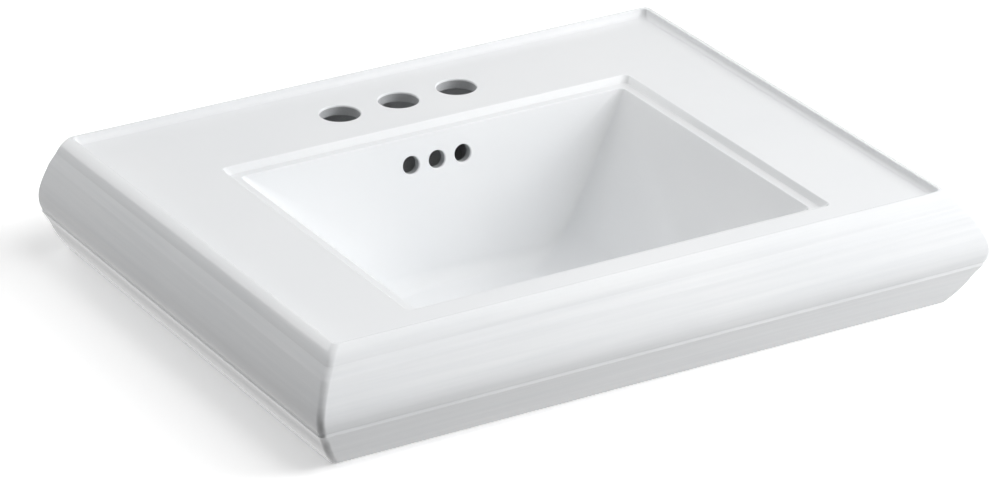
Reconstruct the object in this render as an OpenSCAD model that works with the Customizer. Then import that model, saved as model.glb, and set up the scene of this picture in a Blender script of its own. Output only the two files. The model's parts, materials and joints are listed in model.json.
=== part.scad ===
// Wall-hung basin of a pedestal sink, with its push-to-close waste and its wall bolts.
// Millimetres, +Z up. The wall is the plane y = 0, the front faces -Y, and the origin lies
// on the wall midway between the two bolts that hold the basin up.

/* [Rim and deck] */
// Width of the basin between the crests of its side rims
rim_w = 507; // [480:1:600]
// Depth from the wall to the crest of the front rim
rim_d = 411; // [400:1:480]
// Height of the raised rim above the deck
rim_h = 6; // [4:0.5:9]
// Width of the flat crest of the rim
crest_t = 2; // [1.5:0.1:4]
// Width of the hollow cove that falls from the crest to the deck
cove_w = 4.3; // [3:0.1:7]
// Thickness of the deck
deck_t = 12; // [9:0.5:14]
// Radius of the mitred outer corners, seen from above
corner_r = 5; // [3:0.5:9]

/* [Outer moulding] */
// How far the ovolo under the crest stands out
ovolo_out = 11.2; // [8:0.1:14]
// Height of the ovolo
ovolo_h = 10; // [8:0.1:13]
// How far the splay under the ovolo runs out
splay_out = 5.6; // [4:0.1:8]
// Height of the splay
splay_h = 6.6; // [5:0.1:9]
// Height of the big swelling belly
belly_h = 35.4; // [30:0.1:42]
// How much further out the foot of the belly stands than its top
belly_foot_out = 8; // [6:0.1:10]
// Lean of the belly from upright at its top, in degrees
belly_top_lean = 30; // [22:1:36]
// Lean of the belly from upright at its foot, in degrees
belly_foot_lean = 24; // [16:1:30]
// Length of the pull that swells the belly
belly_pull = 14; // [11:0.5:17]
// How far the fillet under the belly stands back
fillet_in = 0.5; // [0.3:0.1:1.2]
// Height of the narrow fillet under the belly
fillet_h = 3.2; // [2:0.1:5]
// How far the cavetto under the fillet runs in
cavetto_in = 8; // [6:0.1:10]
// Height of the cavetto
cavetto_h = 14.3; // [11:0.1:17]
// How far the cavetto's hollow turns, in degrees
cavetto_turn = 14; // [8:1:24]
// How far the base bead runs in to the foot of the apron
base_in = 12.1; // [9:0.1:14]
// Height of the base bead
base_h = 19; // [15:0.1:24]
// Thickness of the hollow apron at its foot
apron_t = 11; // [9:0.5:13]
// Thickness of the flat wall at the back
back_t = 12; // [9:0.5:14]

/* [Bowl] */
// Width of the bowl's opening at the deck
open_w = 353; // [330:1:370]
// Depth of the bowl's opening, front to back
open_d = 282.5; // [265:0.5:285]
// Distance from the wall to the back edge of the opening
open_back = 96.5; // [94:0.5:100]
// Radius of the opening's corners
open_r = 5; // [3:0.5:9]
// How far the steep face of the stepped edge runs in
edge_run = 3.6; // [2.5:0.1:5]
// Height of the stepped edge
edge_h = 5.8; // [4:0.1:7]
// Width of the ledge inside the stepped edge
ledge_w = 7.4; // [5:0.1:10]
// Depth from the crest of the rim to the floor of the bowl
bowl_depth = 127; // [120:1:134]
// Fall of the floor from its edge to the drain
floor_fall = 4; // [3:0.5:6]
// Lean of the side walls from upright, in degrees
side_lean = 35; // [30:1:38]
// Radius that turns the side walls into the floor
side_r = 55; // [40:1:64]
// Lean of the front wall from upright, in degrees
front_lean = 18; // [14:1:22]
// Radius that turns the front wall into the floor
front_r = 60; // [45:1:70]
// Lean of the back wall from upright, in degrees
back_lean = 8; // [5:1:10]
// Radius that turns the back wall into the floor
back_r = 12; // [9:0.5:16]
// How much wider than the opening's corners the bowl's corners are at the floor
corner_across = 80; // [60:1:100]
// How much deeper its front corners are there, front to back
corner_front = 45; // [35:1:55]
// How much deeper its back corners are there, front to back
corner_back = 12; // [8:1:25]
// Thickness of the bowl's walls and floor
bowl_t = 11; // [9:0.5:12]

/* [Faucet holes] */
// Diameter of the three holes for a centre-set faucet
faucet_d = 31; // [25:0.1:32]
// Distance from one faucet hole to the next
faucet_pitch = 50.8; // [48:0.1:56]
// Distance from the wall to the line of faucet holes
faucet_back = 51.5; // [48:0.5:54]
// Radius of the glazed round at the mouth of each faucet hole
faucet_round = 1.2; // [0.8:0.1:2.5]
// Depth of the recess under the deck that thins it for a faucet's shanks
shank_recess_h = 4; // [2:0.5:5]
// Front-to-back width of that recess
shank_recess_w = 46; // [40:1:50]

/* [Overflow] */
// Diameter of the three overflow holes
over_d = 14; // [9:0.1:15]
// Distance from one overflow hole to the next
over_pitch = 22.4; // [20:0.1:24]
// Depth from the crest of the rim to the overflow holes
over_drop = 33; // [30:0.5:38]
// Radius of the glazed round at the mouth of each overflow hole
over_round = 1; // [0.8:0.1:2]
// Thickness of the china at the overflow holes
over_wall = 7; // [6:0.5:9]
// Height of the wide head of the duct, from the overflow holes down
over_head_h = 32; // [28:1:36]
// Front-to-back size of the hidden overflow duct
duct_t = 12; // [10:0.5:13]
// Width of the duct below the overflow holes
duct_w = 40; // [34:1:46]
// Thickness of the china round the duct
duct_wall = 8; // [6:0.5:9]

/* [Drain] */
// Diameter of the drain hole
drain_d = 44.5; // [43.5:0.1:46]
// Distance from the wall to the middle of the drain
drain_back = 212; // [206:1:218]
// Height of the china at the drain, from the floor to the foot of its boss
drain_h = 33; // [32:0.5:36]
// Thickness of the boss round the overflow chamber
boss_t = 12; // [9:0.5:14]
// Radius of the flare where the boss leaves the bowl
boss_flare = 8; // [5:0.5:10]
// Depth of the recess that the drain flange sits in
recess_h = 4; // [3:0.1:5]
// Half width of the rib that sits on a pedestal
seat_hw = 86; // [82:1:90]
// Thickness of the seat rib
seat_t = 10; // [8:0.5:12]
// Depth from the crest of the rim to the foot of the seat rib
seat_drop = 151; // [149:0.5:153]
// Half depth of the seat rib, front to back
seat_hd = 78; // [74:1:80]
// Thickness of the bowl's floor over the top of the seat rib
seat_cover = 2.5; // [1.5:0.5:5]
// Radius of the seat rib's corners
seat_r = 24; // [20:1:30]

/* [Waste] */
// Diameter of the drain flange
flange_d = 63; // [60:0.5:65]
// Thickness of the soft seal under the flange
seal_t = 1.5; // [1:0.1:2]
// Outer diameter of the threaded barrel
barrel_d = 41.3; // [40:0.1:42.5]
// Wall of the barrel below the conical mouth
barrel_wall = 3; // [2.6:0.1:3.4]
// Outer diameter of the plain tail that a trap fits on
tail_d = 31.75; // [30:0.05:34]
// Length of the plain tail
tail_h = 9; // [6:0.5:12]
// Wall of the tail
tail_wall = 1.6; // [1.2:0.1:2]
// Height of the overflow windows in the barrel
window_h = 10; // [6:0.5:10]
// Width of each overflow window
window_w = 14; // [10:0.5:16]
// Thickness of the tapered rubber washer
cone_t = 5; // [3.5:0.5:7]
// Thickness of the friction washer
friction_t = 1.5; // [1:0.1:2.5]
// Thickness of the locknut
locknut_h = 8; // [6:0.5:9]
// Width of the locknut across its flats
locknut_af = 49; // [47:0.5:52]

/* [Stopper] */
// Travel of the stopper from raised to closed
travel = 9; // [6:0.5:10]
// Diameter of the conical mouth of the flange
mouth_d = 41.6; // [40.6:0.1:42.4]
// Depth of the conical mouth
mouth_h = 7; // [6.5:0.1:8]
// Thickness of the stopper cap at its edge
cap_t = 2.8; // [2:0.1:3.5]
// Rise of the cap's dome above its edge
cap_rise = 2; // [1:0.1:3]
// Diameter of the stopper's stem
stem_d = 4.5; // [3.5:0.1:5.5]
// Outer diameter of the cartridge that guides the stem
cartridge_d = 12; // [11:0.5:14]
// Wall of the cartridge
cartridge_wall = 1.2; // [0.9:0.1:1.5]
// Thickness of the cap screwed on the cartridge
guide_t = 2.5; // [2:0.1:3]
// Diameter of the spring's wire
wire_d = 0.8; // [0.6:0.05:0.8]
// Turns of the spring
spring_turns = 4; // [3:0.5:4]

/* [Wall bolts] */
// Distance between the two wall bolts
bolt_pitch = 280; // [240:1:320]
// Depth from the crest of the rim to the wall bolts
bolt_drop = 52; // [46:0.5:58]
// Diameter of the wall bolts where their nuts run
bolt_d = 8; // [7.5:0.5:10]
// Diameter of the screw that each bolt drives into the wall
screw_d = 7; // [5:0.5:7]
// Length of each bolt that goes into the wall, with its point
bolt_wall = 46; // [35:1:60]
// Length of each bolt that shows past its nut
bolt_spare = 8; // [4:0.5:14]
// Diameter of the holes in the back wall
bolt_hole_d = 16; // [14:0.5:18]
// Thickness of the sleeve's flange
sleeve_t = 2; // [1.5:0.1:3]
// Thickness of the steel washer
washer_t = 1.6; // [1.2:0.1:2.5]
// Height of the nut
nut_h = 6.5; // [5:0.1:8]

/* [Hidden] */

$fn = 64;
snug = 0.15;     // gap between pieces that stay put on one another
run = 0.08;      // radial gap where a piece slides in another
clear = 0.3;     // gap between moving pieces that only pass close by
eps = 0.5;       // how far a cut runs past the face it opens
over = 3;        // how far one mass of china runs into the next
arc_n = 6;       // segments in each corner of a ring
turn_n = 10;     // rings in the curve from wall to floor
wall_n = 4;      // rings down the straight of a bowl wall
belly_n = 14;    // segments in the belly's curve
glaze_r = 1;     // round that the glaze leaves on an edge

china = [0.95, 0.955, 0.96];
chrome = [0.75, 0.77, 0.8];
brass = [0.78, 0.66, 0.38];
steel = [0.66, 0.67, 0.69];
rubber = [0.12, 0.12, 0.13];
nylon = [0.9, 0.9, 0.87];

// ---- curves -------------------------------------------------------------------------------

function mix(a, b, k) = a + (b - a) * k;

// Points on a circular arc from a to b that turns by the given angle, without the point a
function arc(a, b, turn, n) =
    let (mid = (a + b) / 2, half = (b - a) / 2, reach = 1 / tan(turn / 2),
         centre = mid + reach * [-half[1], half[0]], spoke = a - centre)
    [for (i = [1:n]) let (t = turn * i / n)
        centre + [spoke[0] * cos(t) - spoke[1] * sin(t), spoke[0] * sin(t) + spoke[1] * cos(t)]];

// Points on a cubic curve from a to d pulled towards b and c, without the point a
function curve(a, b, c, d, n) =
    [for (i = [1:n]) let (k = i / n, m = 1 - k)
        a * m * m * m + b * 3 * m * m * k + c * 3 * m * k * k + d * k * k * k];

// One elliptic corner of a ring, a quarter turn from the angle start
function corner(x, y, rx, ry, start) =
    [for (i = [0:arc_n]) let (t = start + 90 * i / arc_n) [x + rx * cos(t), y + ry * sin(t)]];

// A level ring: half width, front, back, corner radii across, at the front and at the back
function ring(hw, front, back, rx, rf, rb, z) =
    [for (p = concat(corner(hw - rx, front + rf, rx, rf, -90), corner(hw - rx, back - rb, rx, rb, 0),
                     corner(rx - hw, back - rb, rx, rb, 90), corner(rx - hw, front + rf, rx, rf, 180)))
        [p[0], p[1], z]];

// ---- outline of the rim and the moulding: [out from the crest, down from the crest] --------

rim_top = bolt_drop;
deck_out = -crest_t - cove_w;
deck_z = rim_top - rim_h;
under_drop = rim_h + deck_t;

cove = [for (i = [0:5]) let (t = 78 * i / 5) [deck_out + cove_w * sin(t), rim_h * cos(t)]];
crest = [[-crest_t + glaze_r * 0.4, 0.15], [-crest_t / 2, 0], [0, 0.1]];
ovolo_foot = [ovolo_out, ovolo_h];
splay_foot = ovolo_foot + [splay_out, splay_h];
belly_foot = splay_foot + [belly_foot_out, belly_h];
fillet_top = belly_foot + [-fillet_in, 0.3 * fillet_h];
fillet_foot = belly_foot + [-fillet_in, fillet_h];
cavetto_foot = fillet_foot + [-cavetto_in, cavetto_h];
base_foot = cavetto_foot + [-base_in, base_h];
apron_h = base_foot[1];
inner_foot = [base_foot[0] - apron_t, apron_h];

moulding = concat(
    arc([0, 0.1], ovolo_foot, 50, 6),
    [ovolo_foot + [0.1 * splay_out, 0.2 * splay_h]],
    [splay_foot - [0.1 * splay_out, 0.12 * splay_h], splay_foot],
    curve(splay_foot, splay_foot + belly_pull * [sin(belly_top_lean), cos(belly_top_lean)],
          belly_foot + belly_pull * [sin(belly_foot_lean), -cos(belly_foot_lean)], belly_foot, belly_n),
    arc(belly_foot, fillet_top, -30, 2),
    [fillet_foot],
    arc(fillet_foot, cavetto_foot, -cavetto_turn, 5),
    arc(cavetto_foot, base_foot - [0, glaze_r], 12, 5),
    [base_foot - [glaze_r, 0], inner_foot + [glaze_r, 0]]);

hollow = curve(inner_foot - [0, glaze_r],
               [belly_foot[0] - apron_t + 0.45 * belly_pull, belly_foot[1] + 0.6 * cavetto_h],
               [splay_foot[0] - apron_t + 0.7 * belly_pull, mix(under_drop, splay_foot[1], -1)],
               [deck_out, under_drop], 8);

// The outside follows the crest, is flat at the wall and keeps one corner radius
function outer_ring(p) =
    ring(rim_w / 2 + p[0], -rim_d - p[0], min(p[0], 0), corner_r, corner_r,
         p[0] < 0 ? corner_r : glaze_r, rim_top - p[1]);

// The hollow under the deck has the flat back wall behind it
function hollow_ring(p) =
    ring(rim_w / 2 + p[0], -rim_d - p[0], -back_t, corner_r, corner_r, corner_r, rim_top - p[1]);

// ---- outline of the bowl ---------------------------------------------------------------------

edge_in = edge_run + ledge_w;
wall_top = rim_h + edge_h;
wall_h = bowl_depth - wall_top;
drain_top = rim_top - bowl_depth - floor_fall;
flange_r = flange_d / 2;
recess_r = flange_r + 1.5;
dish_r = recess_r + 3;

// Run of a wall that leans, then turns into the floor, at the depth d below its top
function wall_run(d, lean, r, h) =
    let (straight = h - r * (1 - sin(lean)), s = min(1, sin(lean) + max(0, d - straight) / r))
    min(d, straight) * tan(lean) + r * (cos(lean) - sqrt(1 - s * s));

// The same wall's outer face, where the china is t thick
function wall_in(d, lean, r, t) = wall_run(d, lean, r + t, wall_h + t) - t / cos(lean);

// Ring of the bowl at the depth d below the ledge, t outside its face
function bowl_ring(d, t) =
    let (hw = open_w / 2 - edge_in - wall_in(d, side_lean, side_r, t),
         front = -open_back - open_d + edge_in + wall_in(d, front_lean, front_r, t),
         back = -open_back - edge_in - wall_in(d, back_lean, back_r, t),
         k = d / (wall_h + t))
    ring(hw, front, back, min(open_r + corner_across * k, 0.85 * hw), open_r + corner_front * k,
         open_r + corner_back * k, rim_top - wall_top - d);

// Depths of those rings: even down the straight, then even round the turn
function wall_depths(t) =
    let (r = side_r + t, h = wall_h + t, straight = h - r * (1 - sin(side_lean)))
    concat([for (i = [1:wall_n]) straight * i / wall_n],
           [for (i = [1:turn_n]) let (a = mix(side_lean, 90, i / turn_n))
               straight + r * (sin(a) - sin(side_lean))]);

// Stepped edge of the opening: [in from the opening, down from the crest]
edge = [[-glaze_r, rim_h], [0.1, rim_h + 0.35 * glaze_r], [0.45 * edge_run, rim_h + 0.35 * edge_h],
        [0.85 * edge_run, rim_h + 0.82 * edge_h], [edge_run, wall_top - 0.25],
        [edge_run + 1.5, wall_top], [edge_in - glaze_r, wall_top + 0.2], [edge_in - 0.15, wall_top + 0.9]];

function edge_ring(p) =
    ring(open_w / 2 - p[0], -open_back - open_d + p[0], -open_back - p[0], open_r, open_r, open_r,
         rim_top - p[1]);

// A round ring about the drain, and the rings that blend the floor into it
function drain_ring(r, z) = ring(r, -drain_back - r, -drain_back + r, r, r, r, z);
function floor_rings(d, t) =
    let (rim = bowl_ring(d, t), eye = drain_ring(dish_r, rim[0][2] - floor_fall))
    [for (k = [0.35, 0.7, 1]) let (fall = k * k * (3 - 2 * k))
        [for (i = [0:len(rim) - 1])
            [mix(rim[i][0], eye[i][0], k), mix(rim[i][1], eye[i][1], k), mix(rim[i][2], eye[i][2], fall)]]];

function backwards(list) = [for (i = [len(list) - 1:-1:0]) list[i]];

// All rings in one chain: up out of the bowl, over the rim, down the moulding and back under
shell_rings = concat(
    backwards(floor_rings(wall_h, 0)),
    [for (d = backwards(wall_depths(0))) bowl_ring(d, 0)],
    [for (p = backwards(edge)) edge_ring(p)],
    [for (p = concat(cove, crest, moulding)) outer_ring(p)],
    [for (p = concat([inner_foot - [0, glaze_r]], hollow)) hollow_ring(p)],
    [for (d = concat([under_drop - wall_top], [for (e = wall_depths(bowl_t)) if (e > deck_t) e]))
        bowl_ring(d, bowl_t)],
    floor_rings(wall_h + bowl_t, bowl_t));

module shell() {
    n = len(shell_rings[0]);
    last = len(shell_rings) - 1;
    polyhedron(
        points = [for (r = shell_rings) for (p = r) p],
        faces = concat(
            [[for (i = [n - 1:-1:0]) i]],
            [for (j = [0:last - 1]) for (i = [0:n - 1]) let (k = (i + 1) % n)
                [j * n + i, j * n + k, (j + 1) * n + i]],
            [for (j = [0:last - 1]) for (i = [0:n - 1]) let (k = (i + 1) % n)
                [j * n + k, (j + 1) * n + k, (j + 1) * n + i]],
            [[for (i = [0:n - 1]) last * n + i]]));
}

// ---- masses and cuts of the basin --------------------------------------------------------

boss_foot = drain_top - drain_h;
chamber_r = drain_d / 2 + 7.5;
duct_top = drain_top - 10;
duct_foot = duct_top - duct_t;
hump_foot = duct_foot - duct_wall;
upper_w = 2 * over_pitch + over_d + 7;
upper_foot = rim_top - over_drop - over_head_h;
knee_z = drain_top + 6;   // height at which the duct turns from the back wall to the floor
knee_cut = 6;             // corner that is left off under that turn

// y of the back wall's outer face at the height z
function back_face(z) = -open_back - edge_in - wall_in(rim_top - wall_top - z, back_lean, back_r, bowl_t);

// Side view of the duct, [y, z], grown by g on every side but the one that lies on the bowl.
// The hollow bites into the bowl's back wall and leaves over_wall of it; the mass laps that wall.
function duct_side(top, g) =
    let (bite = g == 0 ? bowl_t - over_wall : bowl_t / 2, knee = back_face(knee_z) + duct_t - 1)
    [[back_face(top) - bite, top], [back_face(top) + duct_t - 1 + g, top],
     [knee + g, duct_top], [knee + g - knee_cut, duct_foot - g], [-drain_back, duct_foot - g],
     [-drain_back, duct_top + g / 2], [back_face(knee_z) - bite, duct_top + g / 2]];

module along_x(w) rotate([90, 0, 90]) translate([0, 0, -w / 2]) linear_extrude(w) children();

module duct_shape(g) {
    along_x(duct_w + 2 * g) polygon(duct_side(rim_top - over_drop - (g == 0 ? 0 : over_d), g));
    along_x(upper_w + 2 * g) intersection() {
        polygon(duct_side(rim_top - under_drop - (g == 0 ? 4 : -over), g));
        translate([-drain_back, upper_foot - g]) square([drain_back, rim_top - upper_foot + g]);
    }
}

module rounded(hw, front, back, r) {
    translate([-hw, front + r]) square([2 * hw, back - front - 2 * r]);
    translate([r - hw, front]) square([2 * (hw - r), back - front]);
    for (x = [r - hw, hw - r], y = [front + r, back - r]) translate([x, y]) circle(r);
}

// The rib that a pedestal's top bears on runs up into the bowl's floor
module seat_rib()
    translate([0, -drain_back, rim_top - seat_drop])
        linear_extrude(drain_top + floor_fall - seat_cover - rim_top + seat_drop) difference() {
            rounded(seat_hw, -seat_hd, seat_hd, seat_r);
            rounded(seat_hw - seat_t, seat_t - seat_hd, seat_hd - seat_t, seat_r - seat_t);
        }

module at_drain(z = 0) translate([0, -drain_back, drain_top + z]) children();

module drain_boss() at_drain(-drain_h) rotate_extrude()
    let (r = chamber_r + boss_t, h = drain_h - recess_h - 2)
    polygon(concat([[0, h], [0, 0], [r - glaze_r, 0], [r, glaze_r], [r, h - boss_flare]],
                   arc([r, h - boss_flare], [r + boss_flare, h], -80, 5)));

module drain_cut() at_drain() {
    translate([0, 0, -recess_h]) cylinder(h = recess_h + eps, r = recess_r);
    translate([0, 0, -drain_h - eps]) cylinder(h = drain_h, r = drain_d / 2);
    translate([0, 0, duct_foot - drain_top]) cylinder(h = duct_t, r = chamber_r);
}

// A round hole with a rounded mouth at z = 0, cut downwards
module mouthed_hole(r, round, depth) rotate_extrude() difference() {
    translate([0, -depth]) square([r + round, depth + eps]);
    translate([r + round, -round]) circle(round);
    translate([r, -depth - eps]) square([round + eps, depth - round + eps]);
}

module faucet_cut() {
    for (i = [-1:1]) translate([i * faucet_pitch, -faucet_back, deck_z])
        mouthed_hole(faucet_d / 2, faucet_round, deck_t + eps);
    translate([0, -faucet_back, deck_z - deck_t - eps]) linear_extrude(shank_recess_h + eps) {
        square([2 * faucet_pitch, shank_recess_w], center = true);
        for (s = [-1, 1]) translate([s * faucet_pitch, 0]) circle(shank_recess_w / 2);
    }
}

// The overflow holes stand square to the leaning back wall
over_y = -open_back - edge_in - wall_run(over_drop - wall_top, back_lean, back_r, wall_h);
module overflow_cut() {
    duct_shape(0);
    for (i = [-1:1]) translate([i * over_pitch, over_y, rim_top - over_drop])
        rotate([90 - back_lean, 0, 0]) mouthed_hole(over_d / 2, over_round, bowl_t + eps);
}

module bolt_cut() for (s = [-1, 1])
    translate([s * bolt_pitch / 2, eps, 0]) rotate([90, 0, 0]) cylinder(h = back_t + 2 * eps, r = bolt_hole_d / 2);

module basin() color(china) difference() {
    union() {
        shell();
        duct_shape(duct_wall);
        drain_boss();
        seat_rib();
    }
    drain_cut();
    faucet_cut();
    overflow_cut();
    bolt_cut();
}

// ---- waste ---------------------------------------------------------------------------------

barrel_r = barrel_d / 2;
bore_r = barrel_r - barrel_wall;
mouth_r = mouth_d / 2;
mouth_lip = 0.6;
mouth_slope = (mouth_r - bore_r) / (mouth_h - mouth_lip);
cone_top = -drain_h;
friction_top = cone_top - cone_t;
locknut_top = friction_top - friction_t;
barrel_foot = locknut_top - locknut_h - 1.5;
tail_foot = barrel_foot - tail_h;
hub_r = 5.5;
hub_h = 5;
hub_bore = 2.5;
cartridge_foot = -drain_h + 3;
window_z = (duct_top + duct_foot) / 2 - drain_top;

// Radius of the conical mouth at the height z below the flange's face
function cone_r(z) = bore_r + mouth_slope * (z + mouth_h);

module waste_body() color(chrome) at_drain() {
    difference() {
        rotate_extrude() polygon(concat(
            [[tail_d / 2 - tail_wall, tail_foot], [tail_d / 2, tail_foot], [tail_d / 2, barrel_foot],
             [barrel_r, barrel_foot], [barrel_r, seal_t - recess_h - 2],
             [barrel_r + 1.3, seal_t - recess_h], [flange_r, seal_t - recess_h], [flange_r, -1.2]],
            arc([flange_r, -1.2], [mouth_r + 1.2, 0], 24, 5),
            [[mouth_r, -mouth_lip], [bore_r, -mouth_h],
             [bore_r, barrel_foot + 3], [tail_d / 2 - tail_wall, barrel_foot + 1]]));
        for (a = [45:90:315]) rotate(a)
            translate([barrel_r, 0, window_z]) cube([2.5 * barrel_wall, window_w, window_h], center = true);
    }
    difference() {
        union() {
            translate([0, 0, cartridge_foot - hub_h]) cylinder(h = hub_h, r = hub_r);
            for (a = [0:120:240]) rotate(a) translate([0, -1.5, cartridge_foot - hub_h])
                cube([bore_r + barrel_wall / 2, 3, hub_h - 1]);
        }
        translate([0, 0, cartridge_foot - hub_h - eps]) cylinder(h = hub_h + 2 * eps, r = hub_bore + snug);
    }
}

module washer(r_in, r_out, h) difference() {
    cylinder(h = h, r = r_out);
    translate([0, 0, -eps]) cylinder(h = h + 2 * eps, r = r_in);
}

module flange_seal() color(rubber) at_drain(-recess_h) washer(drain_d / 2 + 0.5, flange_r - 0.8, seal_t);

module cone_washer() color(rubber) at_drain() rotate_extrude() polygon([
    [barrel_r + snug, cone_top], [chamber_r + 3, cone_top], [chamber_r + 3, cone_top - 1.2],
    [chamber_r - 1, friction_top], [barrel_r + snug, friction_top]]);

module friction_washer() color(nylon) at_drain(locknut_top)
    washer(barrel_r + snug, chamber_r - 1, friction_t);

module hex_nut(af, bore, h) intersection() {
    difference() {
        cylinder(h = h, r = af / 2 / cos(30), $fn = 6);
        translate([0, 0, -eps]) cylinder(h = h + 2 * eps, r = bore, $fn = 64);
    }
    rotate_extrude($fn = 64) polygon([[0, 0], [af / 2, 0], [af / 2 / cos(30), 0.08 * af],
        [af / 2 / cos(30), h - 0.08 * af], [af / 2, h], [0, h]]);
}

module locknut() color(brass) at_drain(locknut_top - locknut_h) hex_nut(locknut_af, barrel_r + snug / 2, locknut_h);

// ---- stopper ---------------------------------------------------------------------------------

cartridge_r = cartridge_d / 2;
cup_r = cartridge_r - cartridge_wall;
collar_h = 2.7;
cup_floor = cartridge_foot + 2;
seal_drop = 2.8;
lip_drop = 1.2;
cap_edge = -recess_h + travel;
guide_top = cap_edge - travel - seal_drop - lip_drop - 1.5;
cup_top = guide_top - guide_t;
collar_foot = cup_top - clear - collar_h;
spring_h = collar_foot - cup_floor;
cap_r = cone_r(-recess_h) - 1.2 * clear;
neck_r = 0.78 * bore_r;
stem_top = cap_edge - 0.5;

module cartridge() color(brass) at_drain() difference() {
    union() {
        translate([0, 0, cartridge_foot]) cylinder(h = cup_top - cartridge_foot, r = cartridge_r);
        translate([0, 0, cartridge_foot - hub_h - 1.5]) cylinder(h = hub_h + 2, r = hub_bore);
    }
    translate([0, 0, cup_floor]) cylinder(h = cup_top - cup_floor + eps, r = cup_r);
}

module guide_cap() color(brass) at_drain(cup_top) washer(stem_d / 2 + run, cartridge_r, guide_t);

// Coil of round wire, flat against the cup's floor and the stem's collar
coil_r = cup_r - wire_d / 2 - clear;
coil_seg = 16;
wire_seg = 6;
coil_steps = round(spring_turns * coil_seg);
function coil_ring(i) =
    let (t = 360 * i / coil_seg, z = mix(wire_d / 2, spring_h - wire_d / 2, i / coil_steps))
    [for (j = [0:wire_seg - 1]) let (w = 360 * j / wire_seg, r = coil_r + wire_d / 2 * cos(w))
        [r * cos(t), r * sin(t), z + wire_d / 2 * sin(w)]];
module stopper_spring() color(steel) at_drain(cup_floor) polyhedron(
    points = [for (i = [0:coil_steps]) each coil_ring(i)],
    faces = concat(
        [[for (j = [0:wire_seg - 1]) j]],
        [for (i = [0:coil_steps - 1]) for (j = [0:wire_seg - 1]) let (k = (j + 1) % wire_seg)
            each [[i * wire_seg + j, (i + 1) * wire_seg + j, i * wire_seg + k],
                  [i * wire_seg + k, (i + 1) * wire_seg + j, (i + 1) * wire_seg + k]]],
        [[for (j = [wire_seg - 1:-1:0]) coil_steps * wire_seg + j]]));

module stopper_stem() color(brass) at_drain() {
    translate([0, 0, collar_foot]) cylinder(h = collar_h, r = cup_r - run);
    translate([0, 0, collar_foot]) cylinder(h = stem_top - collar_foot, r = stem_d / 2);
}

module stopper_cap() color(chrome) at_drain(cap_edge) difference() {
    rotate_extrude() polygon(concat(
        [[0, -seal_drop - lip_drop], [neck_r + 1.1, -seal_drop - lip_drop], [neck_r + 1.1, -seal_drop],
         [neck_r, -seal_drop], [neck_r, 0], [cap_r - 0.4, 0], [cap_r, 0.4], [cap_r, cap_t - 0.8]],
        [for (i = [0:8]) let (t = 90 - 10 * i) [(cap_r - 0.8) * sin(t), cap_t - 0.2 + cap_rise * cos(t)]],
        [[0, cap_t - 0.2 + cap_rise]]));
    translate([0, 0, -seal_drop - lip_drop - eps])
        cylinder(h = stem_top - cap_edge + seal_drop + lip_drop + eps, r = stem_d / 2);
}

// The lip follows the conical mouth that it closes
module stopper_seal() color(rubber) at_drain(cap_edge) rotate_extrude() polygon([
    [neck_r + snug, -seal_drop + snug], [cone_r(-recess_h - seal_drop) - 1.3 * clear, -seal_drop + snug],
    [cone_r(-recess_h - snug) - 1.3 * clear - 0.5, -snug - 0.6],
    [cone_r(-recess_h - snug) - 1.3 * clear - 0.5, -snug], [neck_r + snug, -snug]]);

// ---- wall bolts, along -Y from the wall into the basin -----------------------------------------

bolt_r = bolt_d / 2;
sleeve_top = back_t + sleeve_t;
washer_top = sleeve_top + washer_t;
nut_top = washer_top + nut_h;

module at_bolt(side) translate([side * bolt_pitch / 2, 0, 0]) rotate([90, 0, 0]) children();

module bolt(side) color(steel) at_bolt(side) {
    cylinder(h = nut_top + bolt_spare, r = bolt_r);
    translate([0, 0, screw_d - bolt_wall]) cylinder(h = bolt_wall - screw_d + eps, r = screw_d / 2);
    translate([0, 0, -bolt_wall]) cylinder(h = screw_d, r1 = screw_d / 10, r2 = screw_d / 2);
}

module sleeve(side) color(nylon) at_bolt(side) difference() {
    union() {
        translate([0, 0, 0.5]) cylinder(h = back_t, r = bolt_hole_d / 2 - snug);
        translate([0, 0, back_t]) cylinder(h = sleeve_t, r = bolt_hole_d / 2 + 5);
    }
    translate([0, 0, -eps]) cylinder(h = sleeve_top + 2 * eps, r = bolt_r + snug);
}

module wall_washer(side) color(steel) at_bolt(side) translate([0, 0, sleeve_top])
    washer(bolt_r + snug, bolt_hole_d / 2 + 4, washer_t);

module nut(side) color(steel) at_bolt(side) translate([0, 0, washer_top])
    hex_nut(1.6 * bolt_d, bolt_r + snug / 2, nut_h);

basin();
waste_body();
flange_seal();
cone_washer();
friction_washer();
locknut();
cartridge();
guide_cap();
stopper_spring();
stopper_stem();
stopper_cap();
stopper_seal();
bolt(-1);  // left_bolt
bolt(1);  // right_bolt
sleeve(-1);  // left_sleeve
sleeve(1);  // right_sleeve
wall_washer(-1);  // left_washer
wall_washer(1);  // right_washer
nut(-1);  // left_nut
nut(1);  // right_nut
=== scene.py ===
# %% [markdown]
# # The basin of a pedestal sink, in glazed vitreous china
# The basin is one big casting: a flat deck inside a raised rim, a tapering bowl with a stepped edge, and
# a moulded apron on the left, front and right. Its back is flat, because it hangs on two bolts in a
# wall. Under the bowl sits a push-to-close waste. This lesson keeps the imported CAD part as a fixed
# frame, and builds on it what the eye needs: a finer casting, real threads, and one finish for each
# material. Named sizes are in millimetres and angles in degrees, unless a comment says otherwise.

# %% Load the fixed frame
import json
import math

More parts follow.
